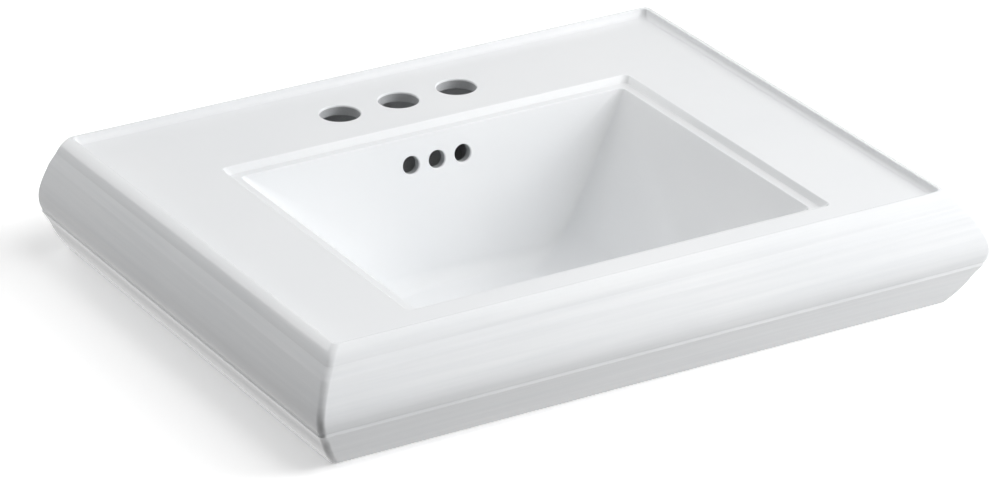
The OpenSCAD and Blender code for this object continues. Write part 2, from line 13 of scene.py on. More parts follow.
import bmesh
import bpy
import numpy as np
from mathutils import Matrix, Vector


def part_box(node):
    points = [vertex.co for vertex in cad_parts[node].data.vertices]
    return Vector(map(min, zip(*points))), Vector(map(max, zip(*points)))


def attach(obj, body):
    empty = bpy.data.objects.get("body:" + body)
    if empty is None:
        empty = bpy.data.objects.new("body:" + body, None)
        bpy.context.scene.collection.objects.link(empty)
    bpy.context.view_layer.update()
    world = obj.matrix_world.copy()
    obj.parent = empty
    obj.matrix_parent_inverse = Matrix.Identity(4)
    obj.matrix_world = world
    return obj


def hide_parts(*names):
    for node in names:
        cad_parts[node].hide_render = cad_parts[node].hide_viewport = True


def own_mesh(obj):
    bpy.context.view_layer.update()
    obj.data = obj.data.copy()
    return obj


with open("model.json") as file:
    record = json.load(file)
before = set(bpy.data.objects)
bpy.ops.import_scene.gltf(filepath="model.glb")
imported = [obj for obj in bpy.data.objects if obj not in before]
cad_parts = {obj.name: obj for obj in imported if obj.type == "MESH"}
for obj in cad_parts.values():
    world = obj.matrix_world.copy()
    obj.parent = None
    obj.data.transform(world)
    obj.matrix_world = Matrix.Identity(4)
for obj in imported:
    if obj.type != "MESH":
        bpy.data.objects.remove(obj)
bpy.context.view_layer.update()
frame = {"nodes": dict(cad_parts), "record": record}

MM = 0.001
print("nodes in the frame:", sorted(frame["nodes"]))

# %% [markdown]
# ## Camera
# The basin is seen from its front left corner, from well above the deck. A long lens from a few metres
# keeps the rims almost parallel, so the camera stands far back. It aims at a point over the front of the
# bowl, left of the middle, and as high as the rim, which it takes from the frame.

# %% Camera
basin_low, basin_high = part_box("basin")
VIEW_AZIMUTH, VIEW_ELEVATION = -30.48, 24.95
VIEW_DISTANCE = 3.626  # metres
VIEW_LENS = 183.9
VIEW_REACH = 100  # metres to which the camera sees
AIM_X, AIM_Y = -0.0788, -0.3377  # metres
aim = Vector((AIM_X, AIM_Y, basin_high.z))


def direction(azimuth, elevation):
    """Unit vector from the basin towards an azimuth and an elevation, both in degrees."""
    a, e = math.radians(azimuth), math.radians(elevation)
    return Vector((math.sin(a) * math.cos(e), -math.cos(a) * math.cos(e), math.sin(e)))


def look_at(thing, place, target):
    """Put a camera or lamp at a place and point it at a target."""
    thing.location = place
    thing.rotation_mode = "QUATERNION"
    thing.rotation_quaternion = (target - place).to_track_quat("-Z", "Y")
    bpy.context.scene.collection.objects.link(thing)


camera = bpy.data.objects.new("camera", bpy.data.cameras.new("camera"))
camera.data.lens = VIEW_LENS
camera.data.clip_end = VIEW_REACH
look_at(camera, aim + VIEW_DISTANCE * direction(VIEW_AZIMUTH, VIEW_ELEVATION), aim)
bpy.context.scene.camera = camera
print("camera stands at", tuple(round(x, 3) for x in camera.location))

# %% [markdown]
# ## Drawing tools for the casting
# A potter's modeller would draw the moulding as a section: an ovolo, a splay, a swelling belly, a fillet
# and a base bead. The section is a list of points in millimetres, made of arcs and pulled curves. Glaze
# fills and rounds every arris, so `soften` rounds each corner of the section by about a millimetre.

# %% Arcs, curves and softened corners
def arc(start, end, turn, steps):
    """Points on an arc that turns by so many degrees on its way from start to end, without the start."""
    start, end = np.array(start, float), np.array(end, float)
    half = (end - start) / 2
    centre = (start + end) / 2 + np.array([-half[1], half[0]]) / math.tan(math.radians(turn) / 2)
    spoke = start - centre
    angles = np.radians(turn) * np.arange(1, steps + 1) / steps
    return [centre + [spoke[0] * math.cos(t) - spoke[1] * math.sin(t),
                      spoke[0] * math.sin(t) + spoke[1] * math.cos(t)] for t in angles]


def pulled_curve(start, pull_a, pull_b, end, steps):
    """Points on a cubic curve that is pulled towards two points, without the start."""
    a, b, c, d = (np.array(p, float) for p in (start, pull_a, pull_b, end))
    shares = np.arange(1, steps + 1) / steps
    return [a * (1 - k) ** 3 + 3 * b * (1 - k) ** 2 * k + 3 * c * (1 - k) * k ** 2 + d * k ** 3
            for k in shares]


def soften(points, radius, steps=4, sharp=12, most=0.45):
    """Round each corner that turns by more than `sharp` degrees, using at most `most` of each side."""
    points = [np.array(p, float) for p in points]
    out = [points[0]]
    for before, here, after in zip(points, points[1:], points[2:]):
        a, b = before - here, after - here
        la, lb = np.linalg.norm(a), np.linalg.norm(b)
        bend = math.pi - math.acos(np.clip(a @ b / (la * lb), -1, 1))
        if math.degrees(bend) < sharp:
            out.append(here)
            continue
        reach = min(radius * math.tan(bend / 2), most * la, most * lb)
        start, end = here + a / la * reach, here + b / lb * reach
        out += [start * (1 - k) ** 2 + 2 * here * k * (1 - k) + end * k ** 2
                for k in np.linspace(0, 1, steps + 1)]
    return out + [points[-1]]


print("an arc of a quarter turn ends at", arc((1, 0), (0, 1), 90, 4)[-1].round(3))

# %% [markdown]
# ## Section of the rim and the moulding
# Each point is (out from the crest of the rim, down from it), in millimetres. The deck lies below a thin
# raised lip with a hollow cove inside it. Outside, the rim falls in an ovolo to a quirk, a splay, the
# belly, a narrow fillet, a hollow cavetto, and a base bead that runs in to the foot of the apron.

# %% Section of the rim and the moulding
RIM_H, CREST_T, COVE_W, DECK_T = 6, 2, 4.3, 12
COVE_TURN, COVE_STEPS = 80, 9
CREST_FALL_IN, CREST_FALL_OUT = 0.25, 0.1
OVOLO, SPLAY = np.array([11.2, 10]), np.array([5.6, 6.6])
OVOLO_TURN, QUIRK = 38, np.array([0.2, 0.3])
BELLY = np.array([8, 35.4])
BELLY_TOP_LEAN, BELLY_FOOT_LEAN, BELLY_PULL = 30, 24, 14
FILLET_IN, FILLET_H, FILLET_TURN = 0.5, 3.2, 30
FILLET_TOP = 0.3  # share of the fillet's height that its round upper edge takes
CAVETTO = np.array([-8, 14.3])
CAVETTO_TURN = 14
BASE = np.array([-12.1, 19])
BASE_TURN = 12
OVOLO_STEPS, BELLY_STEPS, FILLET_STEPS, CAVETTO_STEPS, BASE_STEPS = 14, 36, 4, 12, 10
APRON_T, BACK_T = 11, 12
GLAZE_R = 1.0
LAP = 3  # millimetres that a section runs on past its end, so that the corner there is rounded too

deck_out = -CREST_T - COVE_W
cove = [(deck_out + COVE_W * math.sin(t), RIM_H * math.cos(t))
        for t in np.radians(np.linspace(0, COVE_TURN, COVE_STEPS))]
crest = [(-CREST_T, CREST_FALL_IN), (-CREST_T / 2, 0), (0, CREST_FALL_OUT)]
splay_foot = OVOLO + SPLAY
belly_foot = splay_foot + BELLY
fillet_top = belly_foot + [-FILLET_IN, FILLET_TOP * FILLET_H]
fillet_foot = belly_foot + [-FILLET_IN, FILLET_H]
cavetto_foot = fillet_foot + CAVETTO
base_foot = cavetto_foot + BASE


def leaning(degrees, length):
    """A move outwards and down, so many degrees from upright."""
    return length * np.array([math.sin(math.radians(degrees)), math.cos(math.radians(degrees))])


moulding = arc(crest[-1], OVOLO, OVOLO_TURN, OVOLO_STEPS) + [OVOLO + QUIRK, splay_foot]
moulding += pulled_curve(splay_foot, splay_foot + leaning(BELLY_TOP_LEAN, BELLY_PULL),
                         belly_foot - leaning(-BELLY_FOOT_LEAN, BELLY_PULL), belly_foot, BELLY_STEPS)
moulding += arc(belly_foot, fillet_top, -FILLET_TURN, FILLET_STEPS) + [fillet_foot]
moulding += arc(fillet_foot, cavetto_foot, -CAVETTO_TURN, CAVETTO_STEPS)
moulding += arc(cavetto_foot, base_foot, BASE_TURN, BASE_STEPS)
bulge = max(p[0] for p in moulding)
inner_foot = base_foot - [APRON_T, 0]
outer_section = soften([(deck_out - LAP, RIM_H)] + cove + crest + moulding + [base_foot - [LAP, 0]],
                       GLAZE_R)[:-1]
print("the moulding stands", round(bulge, 1), "mm out and is", round(base_foot[1], 1), "mm high")

# %% [markdown]
# ## Rings round the basin
# The casting is lofted: the section is carried round the basin as level rings with small round corners,
# so the mouldings meet in mitres at the corners, as they do in the plaster mould. The ring's half width
# and front come from the section, and the back is cut flat where the basin meets the wall.

# %% Level rings
CORNER_STEPS, SIDE_STEPS = 10, 16
CORNER_R, BACK_EDGE_R = 5, 1
rim_top = basin_high.z / MM
rim_half = basin_high.x / MM - bulge
rim_depth = -basin_low.y / MM - bulge


def ring(half_width, front, back, across, at_front, at_back, height):
    """Points of one level ring in millimetres, anticlockwise, with a radius across and one at each end."""
    corners = ((half_width - across, front + at_front, at_front, -90),
               (half_width - across, back - at_back, at_back, 0),
               (across - half_width, back - at_back, at_back, 90),
               (across - half_width, front + at_front, at_front, 180))
    turns = []
    for x, y, deep, start in corners:
        angles = np.radians(start + 90 * np.arange(CORNER_STEPS + 1) / CORNER_STEPS)
        turns.append(np.stack([x + across * np.cos(angles), y + deep * np.sin(angles)], axis=1))
    flat = []
    for turn, following in zip(turns, turns[1:] + turns[:1]):
        shares = np.linspace(0, 1, SIDE_STEPS + 1)[1:-1, None]
        flat += [turn, turn[-1] * (1 - shares) + following[0] * shares]
    flat = np.concatenate(flat)
    return np.column_stack([flat, np.full(len(flat), float(height))])


def outside_ring(p):
    """Ring of the outer section at one of its points: flat against the wall, with small round corners."""
    back_r = CORNER_R if p[0] < 0 else BACK_EDGE_R
    return ring(rim_half + p[0], -rim_depth - p[0], min(p[0], 0), CORNER_R, CORNER_R, back_r, rim_top - p[1])


print("rim", round(2 * rim_half), "mm wide,", round(rim_depth), "mm deep; one ring has",
      len(outside_ring((0, 0))), "points")

# %% [markdown]
# ## Section of the bowl
# The opening has a stepped edge: a steep face, a narrow ledge with a short drop, and then the walls. Each
# wall leans, then turns into the floor by its own radius: wide at the sides and in front, and nearly a
# corner at the back. The corners between the walls open out on their way down. One formula gives all of
# them, so the outer face under the bowl follows at the china's thickness.

# %% Section of the bowl
OPEN_HALF, OPEN_D, OPEN_BACK, OPEN_R = 176.5, 282.5, 96.5, 5
EDGE_IN, EDGE_H = 11, 5.8
EDGE_RUN, EDGE_FALL, LEDGE_W, LEDGE_TILT = 3.8, 5, 6.6, 0.1
EDGE_R, EDGE_LAP = 1.2, 4
BOWL_DEPTH, FLOOR_FALL, BOWL_T = 127, 4, 11
SIDE_LEAN, SIDE_R = 35, 55
FRONT_LEAN, FRONT_R = 18, 60
BACK_LEAN, BACK_R = 8, 12
CORNER_ACROSS, CORNER_FRONT, CORNER_BACK = 80, 45, 12
CORNER_MOST = 0.85  # share of the bowl's half width that a corner may take
WALL_STEPS, TURN_STEPS = 10, 24

wall_top = RIM_H + EDGE_H
wall_h = BOWL_DEPTH - wall_top
drain_y = sum(corner.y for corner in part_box("waste_body")) / 2 / MM
drain_top = rim_top - BOWL_DEPTH - FLOOR_FALL


def wall_run(depth, lean, radius, height):
    """How far a wall has run in, at a depth below its top, where it leans and then turns into the floor."""
    lean = math.radians(lean)
    straight = height - radius * (1 - math.sin(lean))
    s = min(1, math.sin(lean) + max(0, depth - straight) / radius)
    return min(depth, straight) * math.tan(lean) + radius * (math.cos(lean) - math.sqrt(1 - s * s))


def wall_in(depth, lean, radius, thick):
    """The same wall's face, `thick` outside the bowl."""
    return wall_run(depth, lean, radius + thick, wall_h + thick) - thick / math.cos(math.radians(lean))


def bowl_ring(depth, thick=0):
    """Ring of the bowl at a depth below the ledge, `thick` outside its face."""
    half = OPEN_HALF - EDGE_IN - wall_in(depth, SIDE_LEAN, SIDE_R, thick)
    front = -OPEN_BACK - OPEN_D + EDGE_IN + wall_in(depth, FRONT_LEAN, FRONT_R, thick)
    back = -OPEN_BACK - EDGE_IN - wall_in(depth, BACK_LEAN, BACK_R, thick)
    k = depth / (wall_h + thick)
    across = min(OPEN_R + CORNER_ACROSS * k, CORNER_MOST * half)
    return ring(half, front, back, across, OPEN_R + CORNER_FRONT * k, OPEN_R + CORNER_BACK * k,
                rim_top - wall_top - depth)


def wall_depths(thick=0):
    """Depths of the bowl's rings: even down the straight wall, then even round the turn."""
    radius, lean = SIDE_R + thick, math.radians(SIDE_LEAN)
    straight = wall_h + thick - radius * (1 - math.sin(lean))
    turn = lean + (math.pi / 2 - lean) * np.arange(1, TURN_STEPS + 1) / TURN_STEPS
    return list(straight * np.arange(1, WALL_STEPS + 1) / WALL_STEPS) + \
        list(straight + radius * (np.sin(turn) - math.sin(lean)))


def floor_rings(rim, eye_radius, steps=8):
    """Rings that carry the floor from its edge to a circle round the drain, with an easy fall."""
    centre = np.array([0, drain_y])
    spokes = rim[:, :2] - centre
    eye = centre + eye_radius * spokes / np.linalg.norm(spokes, axis=1)[:, None]
    rings = []
    for k in np.arange(1, steps + 1) / steps:
        level = rim[:, :2] * (1 - k) + eye * k
        rings.append(np.column_stack([level, rim[:, 2] - FLOOR_FALL * k * k * (3 - 2 * k)]))
    return rings


ledge = RIM_H + EDGE_FALL
down_wall = (EDGE_IN + math.tan(math.radians(SIDE_LEAN)) * EDGE_LAP, wall_top + EDGE_LAP)
edge_section = soften([(-EDGE_LAP, RIM_H), (0, RIM_H), (EDGE_RUN, ledge),
                       (EDGE_RUN + LEDGE_W, ledge + LEDGE_TILT), (EDGE_IN, wall_top + LEDGE_TILT),
                       down_wall], EDGE_R)[:-1]


def edge_ring(p):
    """Ring of the stepped edge at one of its points: (in from the opening, down from the crest)."""
    return ring(OPEN_HALF - p[0], -OPEN_BACK - OPEN_D + p[0], -OPEN_BACK - p[0], OPEN_R, OPEN_R, OPEN_R,
                rim_top - p[1])


print("floor of the bowl", round(drain_top, 1), "mm from the wall bolts' height; drain", round(-drain_y),
      "mm from the wall")

# %% [markdown]
# ## From rings to a mesh
# `loft` skins a chain of rings with quads. It also gives each point its way from the highest ring, in
# metres along the section, as an attribute called "down": a moulding is sponged lengthwise, and the streaks
# of painted reflection that this leaves change quickly down the section and slowly along it. `turned`
# spins a section round an upright axis, for everything that comes off a lathe.

# %% Lofted and turned meshes
WELD = 0.001 * MM  # points nearer than this are one point


def make_piece(name, vertices, faces, down=None):
    """A new object from points in millimetres, its faces turned outwards, with each point's way down."""
    mesh = bpy.data.meshes.new(name)
    mesh.from_pydata((np.asarray(vertices) * MM).tolist(), [], faces)
    way = mesh.attributes.new("down", "FLOAT", "POINT")
    way.data.foreach_set("value", np.zeros(len(vertices)) if down is None else np.asarray(down) * MM)
    shape = bmesh.new()
    shape.from_mesh(mesh)
    bmesh.ops.remove_doubles(shape, verts=shape.verts, dist=WELD)
    bmesh.ops.dissolve_degenerate(shape, edges=shape.edges, dist=WELD)
    bmesh.ops.recalc_face_normals(shape, faces=shape.faces)
    shape.to_mesh(mesh)
    shape.free()
    piece = bpy.data.objects.new(name, mesh)
    bpy.context.scene.collection.objects.link(piece)
    return piece


def loft(name, rings, joined=False):
    """Skin a chain of rings. The ends are closed, or joined to each other."""
    n, rows = len(rings[0]), len(rings)
    moves = [np.linalg.norm(b - a, axis=1).mean() for a, b in zip(rings, rings[1:])]
    way = np.concatenate([[0], np.cumsum(moves)])
    highest = max(range(rows), key=lambda j: rings[j][:, 2].mean())
    down = np.repeat(way - way[highest], n)
    faces = [(j * n + i, j * n + (i + 1) % n, (j + 1) % rows * n + (i + 1) % n, (j + 1) % rows * n + i)
             for j in range(rows if joined else rows - 1) for i in range(n)]
    if not joined:
        faces += [tuple(range(n)), tuple(reversed(range((rows - 1) * n, rows * n)))]
    return make_piece(name, np.concatenate(rings), faces, down)


def turned(name, section, centre=(0, 0), joined=False, segments=96):
    """Spin a section of (radius, height) points round an upright axis that stands at the centre."""
    angles = 2 * math.pi * np.arange(segments) / segments
    circle = np.column_stack([np.cos(angles), np.sin(angles)])
    rings = [np.column_stack([centre + r * circle, np.full(segments, float(z))]) for r, z in section]
    return loft(name, rings, joined)


def prism(name, outline, width):
    """A block with a side outline of (y, z) points, so wide along x and centred on it."""
    n = len(outline)
    vertices = [(s * width / 2, y, z) for s in (-1, 1) for y, z in outline]
    sides = [(i, (i + 1) % n, n + (i + 1) % n, n + i) for i in range(n)]
    return make_piece(name, vertices, sides + [tuple(range(n)), tuple(reversed(range(n, 2 * n)))])


def cylinder(name, radius, low, high, centre=(0, 0)):
    """A plain upright cylinder between two heights."""
    return turned(name, [(0, low), (radius, low), (radius, high), (0, high)], centre)


def block(name, near, far, low, high, width):
    """A block between two places along y and two heights, so wide along x."""
    return prism(name, [(near, low), (far, low), (far, high), (near, high)], width)


def leave_raw(piece, low=-math.inf, high=math.inf):
    """Mark a piece's faces between two heights as china that gets no glaze."""
    raw = piece.data.attributes.new("raw", "INT", "FACE")
    raw.data.foreach_set("value", [int(low < face.center.z / MM < high) for face in piece.data.polygons])
    return piece


def bake_modifiers(piece):
    """Replace a piece's mesh by what its modifiers make of it."""
    graph = bpy.context.evaluated_depsgraph_get()
    mesh = bpy.data.meshes.new_from_object(piece.evaluated_get(graph))
    piece.modifiers.clear()
    piece.data = mesh


def combine(body, tools, operation):
    """Join tools to a body or cut them from it, one after the other, and remove them."""
    for tool in tools:
        join = body.modifiers.new(operation, "BOOLEAN")
        join.operation, join.solver, join.object = operation, "MANIFOLD", tool
        bpy.context.view_layer.update()
        bake_modifiers(body)
        bpy.data.objects.remove(tool)


def round_edges(piece, width, segments, angle):
    """Round a piece's edges that turn by more than an angle, with a modifier: millimetres and degrees."""
    edge = piece.modifiers.new("round_edges", "BEVEL")
    edge.width, edge.segments = width * MM, segments
    edge.limit_method, edge.angle_limit = "ANGLE", math.radians(angle)


def bevel(piece, width, segments=4, angle=30):
    """Round a piece's edges in its mesh, which other pieces can then be joined to."""
    round_edges(piece, width, segments, angle)
    bake_modifiers(piece)
    return piece


# %% [markdown]
# ## The shell of the casting
# One chain of rings makes the whole shell: out of the drain, up the bowl, over the stepped edge, across
# the deck and the rim, down the moulding, round the foot, and back under the hollow to the bowl's outer
# face.

# %% The shell
DISH_R = 36
FOOT_ROUND = 1.5
GLAZE_PAST = 4  # millimetres that the glaze runs round the foot of the apron
LOW_OUT, LOW_DOWN, HIGH_OUT, HOLLOW_STEPS = 0.45, 0.6, 0.7, 22
under_drop = RIM_H + DECK_T
hollow = [inner_foot + [LAP, 0], inner_foot]
low_pull = (belly_foot[0] - APRON_T + LOW_OUT * BELLY_PULL, belly_foot[1] + LOW_DOWN * CAVETTO[1])
high_pull = (splay_foot[0] - APRON_T + HIGH_OUT * BELLY_PULL, 2 * under_drop - splay_foot[1])
hollow += pulled_curve(inner_foot - [0, GLAZE_R], low_pull, high_pull, (deck_out, under_drop), HOLLOW_STEPS)


def hollow_ring(p):
    """Ring of the hollow under the deck, which has the flat back wall behind it."""
    return ring(rim_half + p[0], -rim_depth - p[0], -BACK_T, CORNER_R, CORNER_R, CORNER_R, rim_top - p[1])


shell_rings = floor_rings(bowl_ring(wall_h), DISH_R)[::-1]
shell_rings += [bowl_ring(d) for d in wall_depths()[::-1]]
shell_rings += [edge_ring(p) for p in edge_section[::-1]]
shell_rings += [outside_ring(p) for p in outer_section]
shell_rings += [hollow_ring(p) for p in soften(hollow, FOOT_ROUND)]
outer_depths = [under_drop - wall_top] + [d for d in wall_depths(BOWL_T) if d > DECK_T]
shell_rings += [bowl_ring(d, BOWL_T) for d in outer_depths]
shell_rings += floor_rings(bowl_ring(wall_h + BOWL_T, BOWL_T), DISH_R)
basin = loft("basin_casting", shell_rings)
crest_row = min(range(len(outer_section)), key=lambda j: outer_section[j][1])
outer_way = np.linalg.norm(np.diff(outer_section[crest_row:], axis=0), axis=1).sum()
way_down = np.array([value.value for value in basin.data.attributes["down"].data]) / MM
raw = basin.data.attributes.new("raw", "INT", "FACE")
raw.data.foreach_set("value", [int(way_down[list(face.vertices)].min() > outer_way + GLAZE_PAST)
                               for face in basin.data.polygons])
print("shell:", len(shell_rings), "rings,", len(basin.data.polygons), "faces")

# %% [markdown]
# ## Masses under the bowl
# Behind and below the bowl runs a hollow duct: the overflow holes open into it, and it leads the water to
# a chamber round the drain. The drain's boss and the rib that a pedestal bears on flare where they leave
# the bowl, since wet clay tears at a sharp corner. They are made apart and joined to the shell.

# %% Masses: duct, boss and seat rib
OVER_D, OVER_PITCH, OVER_DROP, OVER_ROUND, OVER_WALL = 14, 22.4, 33, 1.0, 7
DUCT_T, DUCT_W, DUCT_WALL = 12, 40, 8
DUCT_DROP, CHAMBER_W, KNEE_UP, KNEE_IN, DUCT_SINK = 10, 7.5, 6, 6, 1
HEAD_SPARE, HEAD_H, HEAD_BITE, STEM_ROUND, HEAD_ROUND = 7, 32, 3, 5, 6
DRAIN_D, DRAIN_H, BOSS_T, RECESS_H = 44.5, 33, 12, 4
BOSS_SINK, BOSS_ROUND, BOSS_FLARE, BOSS_FLARE_H, BOSS_TURN = 2, 2, 8, 9, 80
SEAT_HALF, SEAT_HALF_D, SEAT_T, SEAT_DROP, SEAT_R, SEAT_COVER = 86, 78, 10, 151, 24, 2.5
SEAT_LIP, SEAT_FLARE, SEAT_TURN = 5, 7, 60
FLARE_STEPS = 8
CLEAR = 0.1  # no two masses or cutters share a face, which would confuse the joining
duct_top = drain_top - DUCT_DROP
duct_foot = duct_top - DUCT_T
chamber_r = DRAIN_D / 2 + CHAMBER_W
upper_w = 2 * OVER_PITCH + OVER_D + HEAD_SPARE
upper_foot = rim_top - OVER_DROP - HEAD_H


def back_face(z):
    """Where the outer face of the bowl's back wall stands at a height."""
    return -OPEN_BACK - EDGE_IN - wall_in(rim_top - wall_top - z, BACK_LEAN, BACK_R, BOWL_T)


def duct_side(top, grow):
    """Side outline of the duct, grown on every side but the one that lies on the bowl."""
    bite = BOWL_T / 2 if grow > CLEAR else BOWL_T - OVER_WALL
    knee = back_face(drain_top + KNEE_UP) + DUCT_T - DUCT_SINK
    return [(back_face(top) - bite, top), (back_face(top) + DUCT_T - DUCT_SINK + grow, top),
            (knee + grow, duct_top), (knee + grow - KNEE_IN, duct_foot - grow), (drain_y, duct_foot - grow),
            (drain_y, duct_top + grow / 2), (back_face(drain_top + KNEE_UP) - bite, duct_top + grow / 2)]


def duct_head(top, grow):
    """Side outline of the duct's wide head behind the overflow holes."""
    bite = BOWL_T / 2 + CLEAR if grow > CLEAR else BOWL_T - OVER_WALL + CLEAR
    foot = upper_foot - grow
    return [(back_face(top) - bite, top), (back_face(top) + DUCT_T - DUCT_SINK + grow, top),
            (back_face(foot) + DUCT_T - DUCT_SINK + grow, foot), (back_face(foot) - bite, foot)]


def soft_rectangle(half, front, back, radius, grow, height):
    """Ring of a rectangle with round corners, grown outwards."""
    radius = radius + grow
    return ring(half + grow, front - grow, back + grow, radius, radius, radius, height)


stem_side = duct_side(rim_top - OVER_DROP - OVER_D, DUCT_WALL)
stem = bevel(prism("duct_stem", stem_side, DUCT_W + 2 * DUCT_WALL), STEM_ROUND)
head_side = duct_head(rim_top - under_drop + HEAD_BITE, DUCT_WALL + CLEAR)
head = bevel(prism("duct_head", head_side, upper_w + 2 * DUCT_WALL), HEAD_ROUND)
boss_r, boss_foot, boss_top = chamber_r + BOSS_T, drain_top - DRAIN_H, drain_top - RECESS_H - BOSS_SINK
flare_foot, flare_top = (boss_r, boss_top - BOSS_FLARE_H), (boss_r + BOSS_FLARE, boss_top - 1)
boss_section = soften([(0, boss_foot), (boss_r, boss_foot), flare_foot], BOSS_ROUND)
boss_section += arc(flare_foot, flare_top, -BOSS_TURN, FLARE_STEPS) + [(0, boss_top - 1)]
boss = turned("boss", boss_section, (0, drain_y))
seat_foot, seat_top = rim_top - SEAT_DROP, drain_top + FLOOR_FALL - SEAT_COVER
seat_front, seat_back = drain_y - SEAT_HALF_D, drain_y + SEAT_HALF_D
lip_top = (0, seat_foot + SEAT_LIP)
seat_section = soften([(-SEAT_T / 2, seat_foot), (0, seat_foot), lip_top], FOOT_ROUND)[1:]
seat_section += arc(lip_top, (SEAT_FLARE, seat_top), -SEAT_TURN, FLARE_STEPS)
seat_rings = [soft_rectangle(SEAT_HALF, seat_front, seat_back, SEAT_R, out, z) for out, z in seat_section]
seat_rings += [soft_rectangle(SEAT_HALF, seat_front, seat_back, SEAT_R, -SEAT_T - out, z)
               for out, z in seat_section[::-1]]
seat = loft("seat_rib", seat_rings, joined=True)
combine(basin, [leave_raw(mass) for mass in (stem, head, boss, seat)], "UNION")
print("casting with its masses:", len(basin.data.polygons), "faces")

# %% [markdown]
# ## Holes
# The china has three holes for a faucet, three for the overflow, one for the waste, and two in the back
# wall for the bolts. Glaze runs over the mouth of each hole that shows, so its cutter flares like a
# trumpet and leaves a round lip. The overflow holes stand square to the leaning back wall of the bowl.

# %% Holes
FAUCET_D, FAUCET_PITCH, FAUCET_BACK, FAUCET_ROUND = 31, 50.8, 51.5, 1.2
SHANK_RECESS_H, SHANK_RECESS_W = 4, 46
GLAZED_IN = 1.6  # millimetres that the spray of glaze reaches into a hole
BOLT_HOLE_D = 16
PAST = 0.5  # how far a cutter runs past the face that it cuts
MOUTH_STEPS, MOUTH_RISE = 8, 0.02  # the mouth ends a hair above the deck, so that its edge is cut cleanly
BORE_DROP, RECESS_SPARE, HEAD_CLEAR = 3, 1.5, 4
RECESS_LIP = [(0, -1), (0.4, -0.3), (1.4, 0.3), (1.4, 2)]  # out from the recess, up from the drain's mouth
deck_z = rim_top - RIM_H
flange_r = (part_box("waste_body")[1].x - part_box("waste_body")[0].x) / 2 / MM
recess_r = flange_r + RECESS_SPARE


def mouthed_hole(name, radius, lip, depth):
    """Cutter for a hole with a rounded mouth at height 0, going down."""
    mouth = [(radius + lip * (1 - math.sin(t)), -lip * (1 - math.cos(t)))
             for t in np.radians(np.linspace(90, 0, MOUTH_STEPS))]
    mouth[-1] = (radius + lip, MOUTH_RISE)
    glazed = [(radius, -GLAZED_IN)] + mouth + [(radius + lip, PAST), (0, PAST)]
    return leave_raw(turned(name, [(0, -depth), (radius, -depth)] + glazed), high=-GLAZED_IN)


def standing(hole, place, lean=0):
    """Put a cutter at a place in millimetres, leaning forwards by so many degrees."""
    hole.location = Vector(place) * MM
    hole.rotation_euler = (math.radians(lean), 0, 0)
    return hole


over_y = -OPEN_BACK - EDGE_IN - wall_run(OVER_DROP - wall_top, BACK_LEAN, BACK_R, wall_h)
recess_section = [(0, drain_top - RECESS_H), (recess_r, drain_top - RECESS_H)]
recess_section += [(recess_r + out, drain_top + up) for out, up in RECESS_LIP]
recess_section += [(0, drain_top + RECESS_LIP[-1][1])]
cutters = [leave_raw(prism("duct_bore", duct_side(rim_top - OVER_DROP, 0), DUCT_W)),
           leave_raw(prism("head_bore", duct_head(rim_top - under_drop - HEAD_CLEAR, CLEAR), upper_w)),
           turned("recess", recess_section, (0, drain_y)),
           cylinder("bore", DRAIN_D / 2, boss_foot - PAST, drain_top - BORE_DROP, (0, drain_y)),
           cylinder("chamber", chamber_r, duct_foot - CLEAR, duct_top + CLEAR, (0, drain_y))]
half = SHANK_RECESS_W / 2
recess = [soft_rectangle(FAUCET_PITCH + half, -FAUCET_BACK - half, -FAUCET_BACK + half, half, 0, z)
          for z in (rim_top - under_drop - PAST, rim_top - under_drop + SHANK_RECESS_H)]
cutters.append(leave_raw(loft("shank_recess", recess)))
for i in (-1, 0, 1):
    cutters.append(standing(mouthed_hole(f"faucet_hole_{i}", FAUCET_D / 2, FAUCET_ROUND, DECK_T + PAST),
                            (i * FAUCET_PITCH, -FAUCET_BACK, deck_z)))
    cutters.append(standing(mouthed_hole(f"overflow_hole_{i}", OVER_D / 2, OVER_ROUND, BOWL_T + PAST),
                            (i * OVER_PITCH, over_y, rim_top - OVER_DROP), 90 - BACK_LEAN))
for bolt in ("left_bolt", "right_bolt"):
    low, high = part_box(bolt)
    bore = cylinder(f"{bolt}_hole", BOLT_HOLE_D / 2, -PAST, BACK_T + PAST)
    cutters.append(standing(bore, ((low.x + high.x) / 2 / MM, 0, (low.z + high.z) / 2 / MM), 90))
bpy.context.view_layer.update()
combine(basin, cutters, "DIFFERENCE")
print("casting with its holes:", len(basin.data.polygons), "faces")

# %% [markdown]
# ## Smooth shading
# The rings are dense wherever the section turns, so the casting is shaded smooth. Only edges that turn by
# more than 35 degrees stay sharp, and weighted normals keep the wide flats flat right up to their round
# edges.

# %% Smooth shading
def shade_smooth(piece, sharp_from=35):
    """Shade a piece smooth between the edges that turn by more than an angle."""
    piece.data.shade_smooth()
    piece.data.set_sharp_from_angle(angle=math.radians(sharp_from))
    normals = piece.modifiers.new("weighted_normals", "WEIGHTED_NORMAL")
    normals.keep_sharp = True
    return piece


shade_smooth(basin)
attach(basin, "root")
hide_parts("basin")
print("basin casting rides on the body root")

# %% [markdown]
# ## The waste
# The waste is turned from brass bar and chrome plated. Its barrel carries a long thread for the locknut,
# and four windows let the overflow water in. A thread could be wound with a screw modifier, but joining
# that to the barrel is untidy. Here the radius of each level ring ripples once per turn, and the ripple
# climbs with the height, which makes a true helix from the same rings as everything else. The stepped
# section matches the frame's, so the stopper and the nuts keep their clearances.

# %% Threads
TURN_RINGS = 8  # level rings in one turn of a thread


